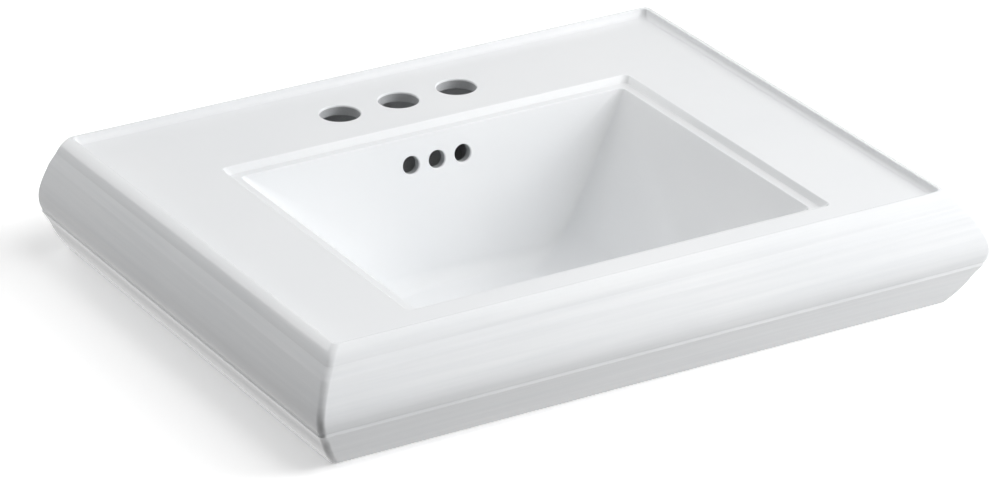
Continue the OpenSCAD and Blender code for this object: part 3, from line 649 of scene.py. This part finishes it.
def thread_rings(heights, radii, depths, pitch, root=0.1, crest=0.1, segments=72):
    """Rings of a thread: the radius at each height is the crest's, and a helix cuts in to the depth."""
    angles = 2 * math.pi * np.arange(segments) / segments
    rings = []
    for z, radius, depth in zip(heights, radii, depths):
        turn = (z / pitch - angles / (2 * math.pi)) % 1
        flank = np.clip((1 - np.abs(2 * turn - 1) - root) / (1 - root - crest), 0, 1)
        reach = radius - depth * (1 - flank)
        rings.append(np.column_stack([reach * np.cos(angles), reach * np.sin(angles), np.full(segments, z)]))
    return rings


def plain_rings(section, segments=72):
    """Rings of a plain turned stretch, from (radius, height) points."""
    radii, heights = zip(*section)
    return thread_rings(heights, radii, [0] * len(section), 1, segments=segments)


def cut_thread(radius, bottom, top, depth, pitch, **profile):
    """Rings of a thread that starts and ends with one turn of run-out."""
    heights = np.linspace(bottom, top, int((top - bottom) / pitch * TURN_RINGS))
    fade = np.clip(np.minimum(heights - bottom, top - heights) / pitch, 0, 1)
    return thread_rings(heights, [radius] * len(heights), depth * fade, pitch, **profile)


print("a thread of 2.3 mm pitch on 20 mm has", len(cut_thread(20, 0, 20, 1, 2.3)), "rings")

# %% The waste
BARREL_D, BARREL_WALL, BARREL_PITCH, BARREL_CUT = 41.3, 3, 2.3, 0.9
THREAD_GAP, BARREL_PAST = 0.4, 1.5
TAIL_D, TAIL_H, TAIL_WALL, TAIL_ROUND = 31.75, 9, 1.6, 0.4
WINDOWS, WINDOW_H, WINDOW_W, WINDOW_REACH, WINDOW_R, WINDOW_DROP = 4, 10, 14, 5, 2, 2
FLANGE_UNDER, FLANGE_SLOPE, FLANGE_EDGE, FLANGE_ROUND = 2, 1.3, 1.2, 0.4
LIP_W, LIP_FALL, LIP_TURN, LIP_STEPS = 1.2, 0.6, 60, 4
DISH_TURN, DISH_STEPS = 24, 8
INSIDE_ROUND, STEP_TOP, STEP_FOOT = 0.6, 3, 1
SEAL_T, CONE_T, FRICTION_T, LOCKNUT_H = 1.5, 5, 1.5, 8
MOUTH_D, MOUTH_H = 41.6, 7
HUB_R, HUB_H, HUB_BORE, HUB_UP = 5.5, 5, 2.65, 3
ARMS, ARM_W, ARM_UP, ARM_DOWN, ARM_BITE = 3, 3, 0.2, 1, 1
barrel_r = BARREL_D / 2
bore_r = barrel_r - BARREL_WALL
flange_z = SEAL_T - RECESS_H
locknut_foot = -DRAIN_H - CONE_T - FRICTION_T - LOCKNUT_H
barrel_foot = locknut_foot - BARREL_PAST
thread_foot = barrel_foot + THREAD_GAP
tail_foot = barrel_foot - TAIL_H
window_z = (duct_top + duct_foot) / 2 - drain_top
thread_top = window_z - WINDOW_H / 2 - WINDOW_DROP

tail_r, tail_in = TAIL_D / 2, TAIL_D / 2 - TAIL_WALL
tail = soften([(tail_in, tail_foot), (tail_r, tail_foot), (tail_r, barrel_foot)], TAIL_ROUND)[1:-1]
outside = plain_rings(tail + [(tail_r, barrel_foot), (barrel_r - BARREL_CUT, barrel_foot)])
outside += cut_thread(barrel_r, thread_foot, thread_top, BARREL_CUT, BARREL_PITCH)
flange_top, lip_edge = (flange_r, -FLANGE_EDGE), (MOUTH_D / 2 + LIP_W, 0)
flange = soften([(barrel_r, flange_z - FLANGE_UNDER), (barrel_r + FLANGE_SLOPE, flange_z),
                 (flange_r, flange_z), flange_top], FLANGE_ROUND)
flange += arc(flange_top, lip_edge, DISH_TURN, DISH_STEPS)
flange += arc(lip_edge, (MOUTH_D / 2, -LIP_FALL), LIP_TURN, LIP_STEPS)
outside += plain_rings(flange + [(bore_r, -MOUTH_H)])
bore_line = [(bore_r, -MOUTH_H), (bore_r, barrel_foot + STEP_TOP), (tail_in, barrel_foot + STEP_FOOT)]
inside = plain_rings(soften(bore_line + [(tail_in, tail_foot)], INSIDE_ROUND)[1:])
waste = loft("waste", outside + inside, joined=True)
windows = [block(f"window_{turn}", barrel_r - WINDOW_REACH, barrel_r + WINDOW_REACH, window_z - WINDOW_H / 2,
                 window_z + WINDOW_H / 2, WINDOW_W) for turn in range(WINDOWS)]
for turn, window in enumerate(windows):
    bevel(window, WINDOW_R, angle=60)
    window.rotation_euler.z = math.radians(360 / WINDOWS * (turn + 0.5))
combine(waste, windows, "DIFFERENCE")
hub_top = HUB_UP - DRAIN_H
hub_foot = hub_top - HUB_H
hub_section = [(HUB_BORE, hub_foot), (HUB_R, hub_foot), (HUB_R, hub_top), (HUB_BORE, hub_top)]
spider = [turned("hub", hub_section, joined=True, segments=48)]
for turn in range(ARMS):
    arm = block(f"arm_{turn}", -bore_r - BARREL_WALL / 2, -HUB_BORE - ARM_BITE, hub_foot + ARM_UP,
                hub_top - ARM_DOWN, ARM_W)
    arm.rotation_euler.z = math.radians(360 / ARMS * turn)
    spider.append(arm)
combine(waste, spider, "UNION")
waste.location = Vector((0, drain_y, drain_top)) * MM
shade_smooth(waste)
bpy.context.view_layer.update()
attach(waste, "root")
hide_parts("waste_body")
print("waste:", len(waste.data.polygons), "faces, thread from", round(thread_foot, 1), "to",
      round(thread_top, 1))

# %% [markdown]
# ## The wall bolts
# Each hanger bolt is a rod with two threads: a machine thread for the nut, and a coarse wood thread with
# a point that bites into the wall. It is rolled from steel wire and zinc plated. The rod is built upright
# and then laid down, so that the same level rings serve again.

# %% The wall bolts
BOLT_D, BOLT_PITCH, BOLT_CUT = 8, 1.25, 0.75
SCREW_D, SCREW_PITCH, SCREW_CUT, POINT_H = 7, 3, 1.1, 7
SCREW_RINGS, SCREW_TOP, TIP_SHARE, SCREW_ROOT, SCREW_CREST = 10, 2, 0.1, 0.5, 0.06
SHANK, SHOULDER, SHANK_GAP = 4, 0.5, 1
END_GAP, END_CUT, END_FALL, END_H = 1.6, 0.2, 1, 1.2
BOLT_SEGMENTS = 48


def hanger_bolt(name, node):
    """A hanger bolt in the place of a CAD one."""
    low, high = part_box(node)
    out, into = -low.y / MM, high.y / MM
    screw_z = np.linspace(-into, -SCREW_TOP, int(into / SCREW_PITCH * SCREW_RINGS))
    taper = np.clip((screw_z + into) / POINT_H, 0, 1)
    radii = SCREW_D / 2 * (TIP_SHARE + (1 - TIP_SHARE) * taper)
    depths = SCREW_CUT * taper * np.clip((-SCREW_TOP - screw_z) / SCREW_PITCH, 0, 1)
    rings = thread_rings(screw_z, radii, depths, SCREW_PITCH, SCREW_ROOT, SCREW_CREST, BOLT_SEGMENTS)
    shank = [(SCREW_D / 2, -SHOULDER), (BOLT_D / 2, 0), (BOLT_D / 2, SHANK - SHANK_GAP)]
    end = [(BOLT_D / 2 - END_CUT, out - END_H), (BOLT_D / 2 - END_FALL, out)]
    rings += plain_rings(shank, BOLT_SEGMENTS)
    rings += cut_thread(BOLT_D / 2, SHANK, out - END_GAP, BOLT_CUT, BOLT_PITCH, segments=BOLT_SEGMENTS)
    rings += plain_rings(end, BOLT_SEGMENTS)
    bolt = loft(name, rings)
    bolt.location = ((low.x + high.x) / 2, 0, (low.z + high.z) / 2)
    bolt.rotation_euler.x = math.pi / 2
    shade_smooth(bolt, sharp_from=40)
    bpy.context.view_layer.update()
    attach(bolt, "root")
    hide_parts(node)
    return bolt


hanger_bolts = [hanger_bolt(f"{side}_hanger_bolt", f"{side}_bolt") for side in ("left", "right")]
print("hanger bolts:", [len(bolt.data.polygons) for bolt in hanger_bolts], "faces")

# %% [markdown]
# ## The stopper's spring
# The spring that lifts the stopper is wound from hard round wire, and its end turns lie close, so that it
# stands straight in its cup. The coil is a loft of round wire sections that turn about the axis.

# %% The stopper's spring
WIRE_D, COIL_TURNS, CLOSED_TURNS, STOPPER_TRAVEL = 0.8, 4, 0.75, 9
COIL_STEPS, WIRE_STEPS = 24, 12
coil_low, coil_high = (np.array(corner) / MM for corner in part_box("stopper_spring"))
coil_x, coil_y, _ = (coil_low + coil_high) / 2
coil_r, coil_h = (coil_high[0] - coil_low[0] - WIRE_D) / 2, coil_high[2] - coil_low[2]
turns = np.linspace(0, COIL_TURNS, COIL_TURNS * COIL_STEPS + 1)
wire_rise = np.interp(turns, [0, CLOSED_TURNS, COIL_TURNS - CLOSED_TURNS, COIL_TURNS],
                      [0, CLOSED_TURNS * WIRE_D, coil_h - (1 + CLOSED_TURNS) * WIRE_D, coil_h - WIRE_D])
wire_angles = 2 * math.pi * np.arange(WIRE_STEPS) / WIRE_STEPS
wire_out, wire_up = WIRE_D / 2 * np.cos(wire_angles), WIRE_D / 2 * np.sin(wire_angles)
wire_rings = [np.column_stack([coil_x + (coil_r + wire_out) * math.cos(2 * math.pi * turn),
                               coil_y + (coil_r + wire_out) * math.sin(2 * math.pi * turn),
                               coil_low[2] + WIRE_D / 2 + rise + wire_up])
              for turn, rise in zip(turns, wire_rise)]
spring = loft("lift_spring", wire_rings)
shade_smooth(spring, sharp_from=60)
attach(spring, "root")
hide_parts("stopper_spring")
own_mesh(spring)
print("spring:", round(coil_h, 2), "mm high at rest and", round(coil_h - STOPPER_TRAVEL, 2),
      "mm when pressed")

# %% [markdown]
# ## Eased edges on the small parts
# Nuts, washers and sleeves keep their CAD meshes, but no turned or moulded edge is perfectly sharp. A
# bevel of a few tenths of a millimetre catches the light along each edge. The CAD meshes come in with
# split corners, so a weld joins them first.

# %% Eased edges
def ease_edges(node, width):
    """Weld a CAD node's mesh and round its edges by so many millimetres, with modifiers only."""
    piece = frame["nodes"][node]
    piece.modifiers.new("weld", "WELD").merge_threshold = WELD
    round_edges(piece, width, segments=2, angle=40)
    piece.modifiers.new("weighted_normals", "WEIGHTED_NORMAL")


small_parts = {"left_nut": 0.2, "right_nut": 0.2, "locknut": 0.4, "left_washer": 0.2, "right_washer": 0.2,
               "left_sleeve": 0.3, "right_sleeve": 0.3, "friction_washer": 0.2, "cone_washer": 0.4}
for node, width in small_parts.items():
    ease_edges(node, width)
print("eased:", ", ".join(small_parts))

# %% [markdown]
# ## Helpers for the finishes
# Colours are written as sRGB hex values, as on a paint card, and turned to the linear values that the
# shader works with. One function adds a node with its settings, values and links. `cells` makes a
# pattern's coordinates from real sizes: one cell of a noise is then as many millimetres wide as the mark
# it stands for. `drift` lets one pattern move colour and roughness together, as dust or wear does.

# %% Helpers for the finishes
def paint(code):
    """Linear RGBA of an sRGB hex colour."""
    parts = [int(code[i:i + 2], 16) / 255 for i in (1, 3, 5)]
    return tuple(c / 12.92 if c <= 0.04045 else ((c + 0.055) / 1.055) ** 2.4 for c in parts) + (1.0,)


def add_node(tree, kind, values=None, links=None, **settings):
    """Add a node: settings are its properties, values fill its sockets, links join sockets to outputs."""
    node = tree.nodes.new(kind)
    for name, value in settings.items():
        setattr(node, name, value)
    for name, value in (values or {}).items():
        node.inputs[name].default_value = value
    for name, output in (links or {}).items():
        tree.links.new(output, node.inputs[name])
    return node


def new_finish(name, **values):
    """A material with one shader, and the node tree, shader and object coordinates to build on."""
    finish = bpy.data.materials.new(name)
    finish.use_nodes = True
    tree = finish.node_tree
    tree.nodes.clear()
    shader = add_node(tree, "ShaderNodeBsdfPrincipled", {k.replace("_", " "): v for k, v in values.items()})
    add_node(tree, "ShaderNodeOutputMaterial", links={"Surface": shader.outputs[0]})
    place = add_node(tree, "ShaderNodeTexCoord").outputs["Object"]
    return finish, tree, shader, place


def cells(tree, place, across, along=None, upward=None, moved=(0, 0, 0)):
    """Coordinates, from a moved origin, whose whole numbers are so many millimetres apart on each axis."""
    origin = add_node(tree, "ShaderNodeVectorMath", {1: tuple(m * MM for m in moved)}, {0: place},
                      operation="SUBTRACT")
    scale = tuple(1 / (size * MM) for size in (across, along or across, upward or across))
    scaled = add_node(tree, "ShaderNodeVectorMath", {1: scale}, {0: origin.outputs[0]}, operation="MULTIPLY")
    return scaled.outputs[0]


def shift(tree, share, low, high):
    """A colour or number that goes from low to high as a share goes from 0 to 1."""
    if isinstance(low, str):
        mix = add_node(tree, "ShaderNodeMix", {6: paint(low), 7: paint(high)}, {0: share}, data_type="RGBA")
        return mix.outputs[2]
    number = add_node(tree, "ShaderNodeMapRange", {"To Min": low, "To Max": high}, {"Value": share})
    return number.outputs["Result"]


def drift(tree, shader, share, colours, roughness):
    """Let a finish's colour and roughness drift together, each between two values."""
    tree.links.new(shift(tree, share, *colours), shader.inputs["Base Color"])
    tree.links.new(shift(tree, share, *roughness), shader.inputs["Roughness"])


def dress(piece, *piece_finishes):
    """Give a piece its finishes, in the order of its material slots."""
    piece.data.materials.clear()
    for finish in piece_finishes:
        piece.data.materials.append(finish)


print("a paint card's mid grey is", round(paint("#808080")[0], 3), "in linear light")

# %% [markdown]
# ## Vitreous china
# Vitreous china is slip cast, sprayed with a white opaque glaze and fired once. The glaze is a millimetre
# of glass: it gives a sharp, cool reflection with a slow ripple in it, over a body that is nearly white.
# Before firing, the mouldings are wiped with a wet sponge along their length, which leaves a faint
# lengthwise waviness in the glaze. Its reflection is painted into the colour as streaks of slightly
# different greys: painted reflection, from a noise with cells that are long along the moulding and narrow
# down its section. A flat white material would lose both, and a bump alone would not change the tone.

# %% Vitreous china
RIPPLE = 28  # millimetres between the glaze's ripples, which are a few hundredths of a millimetre high
STREAK_LENGTH, STREAK_WIDTH = 150, 4.2  # millimetres; streaks of painted reflection along the sponged moulding, a little wider than in life
STREAKS_FROM = 12  # millimetres down the section, where the streaks reach their full strength
STREAK_LEAST, STREAK_MOST = -0.25, 0.5  # share of the darker grey; below 0 there is no streak
CLOUD = 120  # millimetres across a patch where the glaze lies thicker

china, tree, shader, place = new_finish("vitreous_china", IOR=1.52)
down = add_node(tree, "ShaderNodeAttribute", attribute_name="down").outputs["Fac"]
level = add_node(tree, "ShaderNodeSeparateXYZ",
                 links={0: cells(tree, place, STREAK_LENGTH, STREAK_LENGTH, 1)})
on_moulding = add_node(tree, "ShaderNodeMapRange", {"From Max": STREAKS_FROM * MM}, {"Value": down},
                       interpolation_type="SMOOTHSTEP")
narrow = add_node(tree, "ShaderNodeMath", {1: 1 / (STREAK_WIDTH * MM)}, {0: down}, operation="MULTIPLY")
streak_place = add_node(tree, "ShaderNodeCombineXYZ",
                        links={0: level.outputs[0], 1: level.outputs[1], 2: narrow.outputs[0]})
streaks = add_node(tree, "ShaderNodeTexNoise", {"Scale": 1.0, "Detail": 2.0},
                   {"Vector": streak_place.outputs[0]})
clouds = add_node(tree, "ShaderNodeTexNoise", {"Scale": 1.0, "Detail": 1.0},
                  {"Vector": cells(tree, place, CLOUD)})
ripple = add_node(tree, "ShaderNodeTexNoise", {"Scale": 1.0, "Detail": 1.0},
                  {"Vector": cells(tree, place, RIPPLE)})
body = shift(tree, clouds.outputs["Fac"], "#E4E6E8", "#EBECED")
streak_share = shift(tree, streaks.outputs["Fac"], STREAK_LEAST, STREAK_MOST)
painted_reflection = add_node(tree, "ShaderNodeMath", links={0: streak_share, 1: on_moulding.outputs["Result"]},
                 operation="MULTIPLY")
# painted reflection: darker grey streaks on the mouldings, where a wavy glaze would mirror the room
painted_reflection_mix = add_node(tree, "ShaderNodeMix", {7: paint("#D3D6D9")}, {0: painted_reflection.outputs[0], 6: body},
                  data_type="RGBA")
tree.links.new(painted_reflection_mix.outputs[2], shader.inputs["Base Color"])
tree.links.new(shift(tree, clouds.outputs["Fac"], 0.07, 0.13), shader.inputs["Roughness"])
waves = add_node(tree, "ShaderNodeBump", {"Strength": 0.35, "Distance": 0.3 * MM},
                 {"Height": ripple.outputs["Fac"]})
tree.links.new(waves.outputs[0], shader.inputs["Normal"])
print("vitreous china: ripple", RIPPLE, "mm, streaks", STREAK_LENGTH, "by", STREAK_WIDTH, "mm")

# %% [markdown]
# ## Unglazed china
# The spray reaches the faces that show. The hollow under the deck, the duct and the deeper part of the
# holes stay bare, and where the basin stands in the kiln and lies on the wall the glaze is wiped off.
# The bare body is fired hard but stays matt, with a grain as fine as flour. Its colour here is a dull
# grey, darker than the real body: painted shade, so that the holes and the hollow look dark when they are
# seen aslant, which white walls would not give. The faces are known from the piece that made them.

# %% Unglazed china
GRAIN = 0.9  # millimetres; the real grain is ten times finer and would not show
FACES_WALL, FACES_DOWN = 0.9, 0.8  # least share of a face's normal that points at the wall or down
WALL_NEAR, FOOT_NEAR = 0.5, 1  # millimetres from the wall or from the level of a foot

bare_china_painted_shade, tree, shader, place = new_finish("unglazed_china_painted_shade", IOR=1.52)
grain = add_node(tree, "ShaderNodeTexNoise", {"Scale": 1.0, "Detail": 3.0},
                 {"Vector": cells(tree, place, GRAIN)})
# painted shade: the bare china's grey is darker than the real body, to darken the holes and the hollow
drift(tree, shader, grain.outputs["Fac"], ("#A0A2A4", "#B8BABC"), (0.7, 0.9))
pits = add_node(tree, "ShaderNodeBump", {"Strength": 0.4, "Distance": 0.1 * MM},
                {"Height": grain.outputs["Fac"]})
tree.links.new(pits.outputs[0], shader.inputs["Normal"])

dress(basin, china, bare_china_painted_shade)
feet = [rim_top - base_foot[1], seat_foot, boss_foot]
for face, bare in zip(basin.data.polygons, basin.data.attributes["raw"].data):
    foot_gap = min(abs(face.center.z / MM - foot) for foot in feet)
    on_wall = face.normal.y > FACES_WALL and face.center.y > -WALL_NEAR * MM
    on_foot = face.normal.z < -FACES_DOWN and foot_gap < FOOT_NEAR
    face.material_index = 1 if bare.value or on_wall or on_foot else 0
bare_faces = sum(face.material_index for face in basin.data.polygons)
print("unglazed faces:", bare_faces, "of", len(basin.data.polygons))

# %% [markdown]
# ## Metals of the waste and the bolts
# Chrome plate is a mirror with a faint blue cast, and only the slow waves of its polishing show. The
# brass parts come straight off a lathe, so fine rings run round them: a noise of radius and height, with
# no angle in it, draws such rings round the drain's axis. Zinc plate is a duller, cloudy grey, and its
# clear passivation turns it faintly yellow and blue. A metal's colour is its reflection, so each has its
# colour and no other layer.

# %% Chrome plate, turned brass and zinc plate
POLISH = 18  # millimetres between the waves that polishing leaves
TOOL_RING = 0.7  # millimetres; lathe marks are nearer 0.1 mm apart and are drawn coarser so that they show
SPANGLE = 5  # millimetres across a cloud in the zinc

chrome, tree, shader, place = new_finish("chrome_plate", Metallic=1.0, Roughness=0.05)
polish = add_node(tree, "ShaderNodeTexNoise", {"Scale": 1.0}, {"Vector": cells(tree, place, POLISH)})
tree.links.new(shift(tree, polish.outputs["Fac"], "#C9CDD1", "#D5D7DA"), shader.inputs["Base Color"])
sheen = add_node(tree, "ShaderNodeBump", {"Strength": 0.15, "Distance": 0.05 * MM},
                 {"Height": polish.outputs["Fac"]})
tree.links.new(sheen.outputs[0], shader.inputs["Normal"])

brass, tree, shader, place = new_finish("turned_brass", Metallic=1.0)
from_axis = add_node(tree, "ShaderNodeSeparateXYZ",
                     links={0: cells(tree, place, TOOL_RING, moved=(0, drain_y, 0))})
flat_spoke = add_node(tree, "ShaderNodeCombineXYZ", links={0: from_axis.outputs[0], 1: from_axis.outputs[1]})
spoke = add_node(tree, "ShaderNodeVectorMath", links={0: flat_spoke.outputs[0]}, operation="LENGTH")
lathe = add_node(tree, "ShaderNodeCombineXYZ", links={0: spoke.outputs["Value"], 2: from_axis.outputs[2]})
rings = add_node(tree, "ShaderNodeTexNoise", {"Scale": 1.0, "Detail": 1.0}, {"Vector": lathe.outputs[0]})
drift(tree, shader, rings.outputs["Fac"], ("#B98F46", "#D2B06A"), (0.2, 0.36))
turning = add_node(tree, "ShaderNodeBump", {"Strength": 0.3, "Distance": 0.05 * MM},
                   {"Height": rings.outputs["Fac"]})
tree.links.new(turning.outputs[0], shader.inputs["Normal"])

zinc, tree, shader, place = new_finish("zinc_plated_steel", Metallic=1.0)
spangle = add_node(tree, "ShaderNodeTexNoise", {"Scale": 1.0, "Detail": 3.0},
                   {"Vector": cells(tree, place, SPANGLE)})
drift(tree, shader, spangle.outputs["Fac"], ("#A9AFB6", "#C2C0B4"), (0.28, 0.44))
print("metals:", [finish.name for finish in (chrome, brass, zinc)])

# %% [markdown]
# ## Rubber and nylon
# The seals are moulded nitrile rubber, black and dull with a bloom of grey dust, so their tone drifts
# over a few millimetres. The sleeves and the friction washer are injection-moulded natural nylon: milky,
# slightly waxy, and light goes a little way in, which a small share of subsurface scattering gives.

# %% Rubber and nylon
BLOOM = 6  # millimetres across a patch of bloom
FLOW = 9  # millimetres between the flow marks of the moulding
LIGHT_IN = 2  # millimetres that light goes into the nylon

rubber, tree, shader, place = new_finish("nitrile_rubber", IOR=1.52)
bloom = add_node(tree, "ShaderNodeTexNoise", {"Scale": 1.0, "Detail": 4.0},
                 {"Vector": cells(tree, place, BLOOM)})
drift(tree, shader, bloom.outputs["Fac"], ("#141415", "#2A2A2B"), (0.5, 0.75))

nylon, tree, shader, place = new_finish("natural_nylon", IOR=1.53, Subsurface_Weight=0.15,
                                        Subsurface_Scale=LIGHT_IN * MM)
flow = add_node(tree, "ShaderNodeTexNoise", {"Scale": 1.0, "Detail": 2.0},
                {"Vector": cells(tree, place, FLOW)})
drift(tree, shader, flow.outputs["Fac"], ("#DEDBCF", "#EBE9E1"), (0.36, 0.5))
print("rubber and nylon:", rubber.name, "and", nylon.name)

# %% Each piece gets its finish
finishes = {"china": china, "chrome": chrome, "brass": brass, "steel": zinc, "rubber": rubber,
            "nylon": nylon}
for part in frame["record"]["subparts"]:
    dress(frame["nodes"][part["node"]], finishes[part["material_slot"]])
dress(waste, chrome)
for piece in [spring] + hanger_bolts:
    dress(piece, zinc)

# %% [markdown]
# ## Floor
# The basin stands on the foot of its apron on a pale matt board, as it would to be looked at before it is
# hung. Its bowl and waste reach lower than the apron, so the board has a cut-out for them. The board
# sends no light back on the china, so that the lamps under it decide how bright the lower faces are. From
# below it is as clear as glass, so that the basin's underside can be looked at too.

# %% Floor
FLOOR_HALF = 1.6  # metres from the middle of the board to its edge
CUT_OUT_IN = 20  # millimetres from the foot's outline to the cut-out
PAPER = 0.5  # millimetres across a fibre of the board's paper
SHADOW_LIFT = 0.22  # the board's glow, painted light that lifts its shadows as light sent back from a white room would
floor_z = (rim_top - base_foot[1]) * MM
well = [(x * MM, y * MM) for x, y, _ in ring(rim_half - CUT_OUT_IN, CUT_OUT_IN - rim_depth, -CUT_OUT_IN,
                                             CUT_OUT_IN, CUT_OUT_IN, CUT_OUT_IN, 0)]
corners = [(sx * FLOOR_HALF, sy * FLOOR_HALF) for sx, sy in ((1, -1), (1, 1), (-1, 1), (-1, -1))]


def sheet(name, outer, inner):
    """A level sheet at the height of the board with a hole in it, from two outlines in metres."""
    outline = bmesh.new()
    loops = [[outline.verts.new((x, y, floor_z)) for x, y in points] for points in (outer, inner)]
    edges = [outline.edges.new((a, b)) for line in loops for a, b in zip(line, line[1:] + line[:1])]
    bmesh.ops.triangle_fill(outline, edges=edges, use_beauty=True, normal=(0, 0, 1))
    mesh = bpy.data.meshes.new(name)
    outline.to_mesh(mesh)
    outline.free()
    piece = bpy.data.objects.new(name, mesh)
    bpy.context.scene.collection.objects.link(piece)
    return piece


floor = sheet("floor", corners, well)
floor.visible_diffuse = floor.visible_glossy = floor.visible_shadow = False

# the board glows by SHADOW_LIFT: painted light that lightens the shadows on it
board, tree, shader, place = new_finish("pale_board", Roughness=0.9, Emission_Color=paint("#FFFFFF"),
                                        Emission_Strength=SHADOW_LIFT)
fibre = add_node(tree, "ShaderNodeTexNoise", {"Scale": 1.0}, {"Vector": cells(tree, place, PAPER)})
tree.links.new(shift(tree, fibre.outputs["Fac"], "#FBFBFB", "#FEFEFE"), shader.inputs["Base Color"])
underside = add_node(tree, "ShaderNodeNewGeometry").outputs["Backfacing"]
clear = add_node(tree, "ShaderNodeBsdfTransparent")
one_sided = add_node(tree, "ShaderNodeMixShader",
                     links={0: underside, 1: shader.outputs[0], 2: clear.outputs[0]})
tree.links.new(one_sided.outputs[0], tree.nodes["Material Output"].inputs["Surface"])
dress(floor, board)
print("board at", round(floor_z / MM, 1), "mm, which is the foot of the apron")

# %% [markdown]
# ## Light
# Large square lamps stand round the basin behind the cloth of a tent. The cloth spreads their light, so
# the glaze shows no picture of them and only mirrors the pale tent, which is lightest low down, round the
# board, and pale again straight above. One more screen, at the back, shines on nothing and is seen by the
# glaze alone: it draws the thin bright line along the left crest. Two lamps shine from under the board,
# because the lower faces of the mouldings would be black without them. A grey gauze round the bowl keeps
# most of their light out of the hollow, so the faucet holes stay dark.

# %% Light
LAMP_SIZE, LAMP_DISTANCE = 1.6, 2.5  # metres
GAUZE = 0.18  # share of the light that comes through
TENT = 1.17  # brightness, straight down, of what the glaze mirrors
TENT_TOP = 0.7  # brightness straight up, where the cloth hangs under a pale ceiling
TOP_FROM = 0.75  # height, as a share of straight up, at which the pale ceiling begins
middle = Vector((0, drain_y * MM, 0))


def softbox(azimuth, elevation, power):
    """A square lamp behind the tent at an azimuth and elevation, which the glaze doesn't mirror."""
    name = f"lamp_{azimuth}_{elevation}"
    lamp = bpy.data.lights.new(name, "AREA")
    lamp.shape, lamp.size, lamp.energy = "SQUARE", LAMP_SIZE, power
    box = bpy.data.objects.new(name, lamp)
    look_at(box, middle + LAMP_DISTANCE * direction(azimuth, elevation), middle)
    box.visible_camera = False
    box.visible_glossy = False
    return box


# each lamp: azimuth and elevation in degrees, power in watts
LAMPS_ABOVE = [(-45, 38, 9), (25, 14, 6.5), (25, 66, 22), (60, 14, 24), (60, 38, 41.5), (195, 14, 21.5),
               (195, 38, 10), (240, 38, 12)]
LAMPS_BELOW = [(60, -30, 51), (240, -30, 14.5)]
GLINT = (190, 30, 15)
for lamp_place in LAMPS_ABOVE + LAMPS_BELOW:
    softbox(*lamp_place)
glint = softbox(*GLINT)
glint.visible_glossy, glint.visible_diffuse = True, False

bowl_line = bowl_ring(rim_top - wall_top - floor_z / MM, BOWL_T / 2) * MM
gauze = sheet("gauze", well, [(x, y) for x, y, _ in bowl_line])
gauze.visible_camera = gauze.visible_diffuse = gauze.visible_glossy = False
cloth, tree, shader, place = new_finish("grey_gauze")
mesh_holes = add_node(tree, "ShaderNodeBsdfTransparent", {"Color": (GAUZE, GAUZE, GAUZE, 1)})
tree.links.new(mesh_holes.outputs[0], tree.nodes["Material Output"].inputs["Surface"])
dress(gauze, cloth)

world = bpy.data.worlds.new("pale_tent")
bpy.context.scene.world = world
world.use_nodes = True
world.cycles_visibility.diffuse = False
tree = world.node_tree
looking = add_node(tree, "ShaderNodeTexCoord").outputs["Generated"]
height = add_node(tree, "ShaderNodeSeparateXYZ", links={0: looking}).outputs["Z"]
walls = add_node(tree, "ShaderNodeMapRange", {"From Min": 1.0, "From Max": -1.0, "To Max": TENT},
                 {"Value": height})
top = add_node(tree, "ShaderNodeMapRange", {"From Min": TOP_FROM, "To Max": TENT_TOP}, {"Value": height})
both = add_node(tree, "ShaderNodeMath", links={0: walls.outputs["Result"], 1: top.outputs["Result"]},
                operation="MAXIMUM")
seen = add_node(tree, "ShaderNodeLightPath").outputs["Is Camera Ray"]
strength = add_node(tree, "ShaderNodeMath", links={0: both.outputs[0], 1: seen}, operation="MAXIMUM")
tree.nodes["Background"].inputs["Color"].default_value = paint("#FFFFFF")
tree.links.new(strength.outputs[0], tree.nodes["Background"].inputs["Strength"])
bpy.context.scene.view_settings.view_transform = "Standard"
print(len(LAMPS_ABOVE), "lamps above and", len(LAMPS_BELOW), "below, and a screen for the glint")
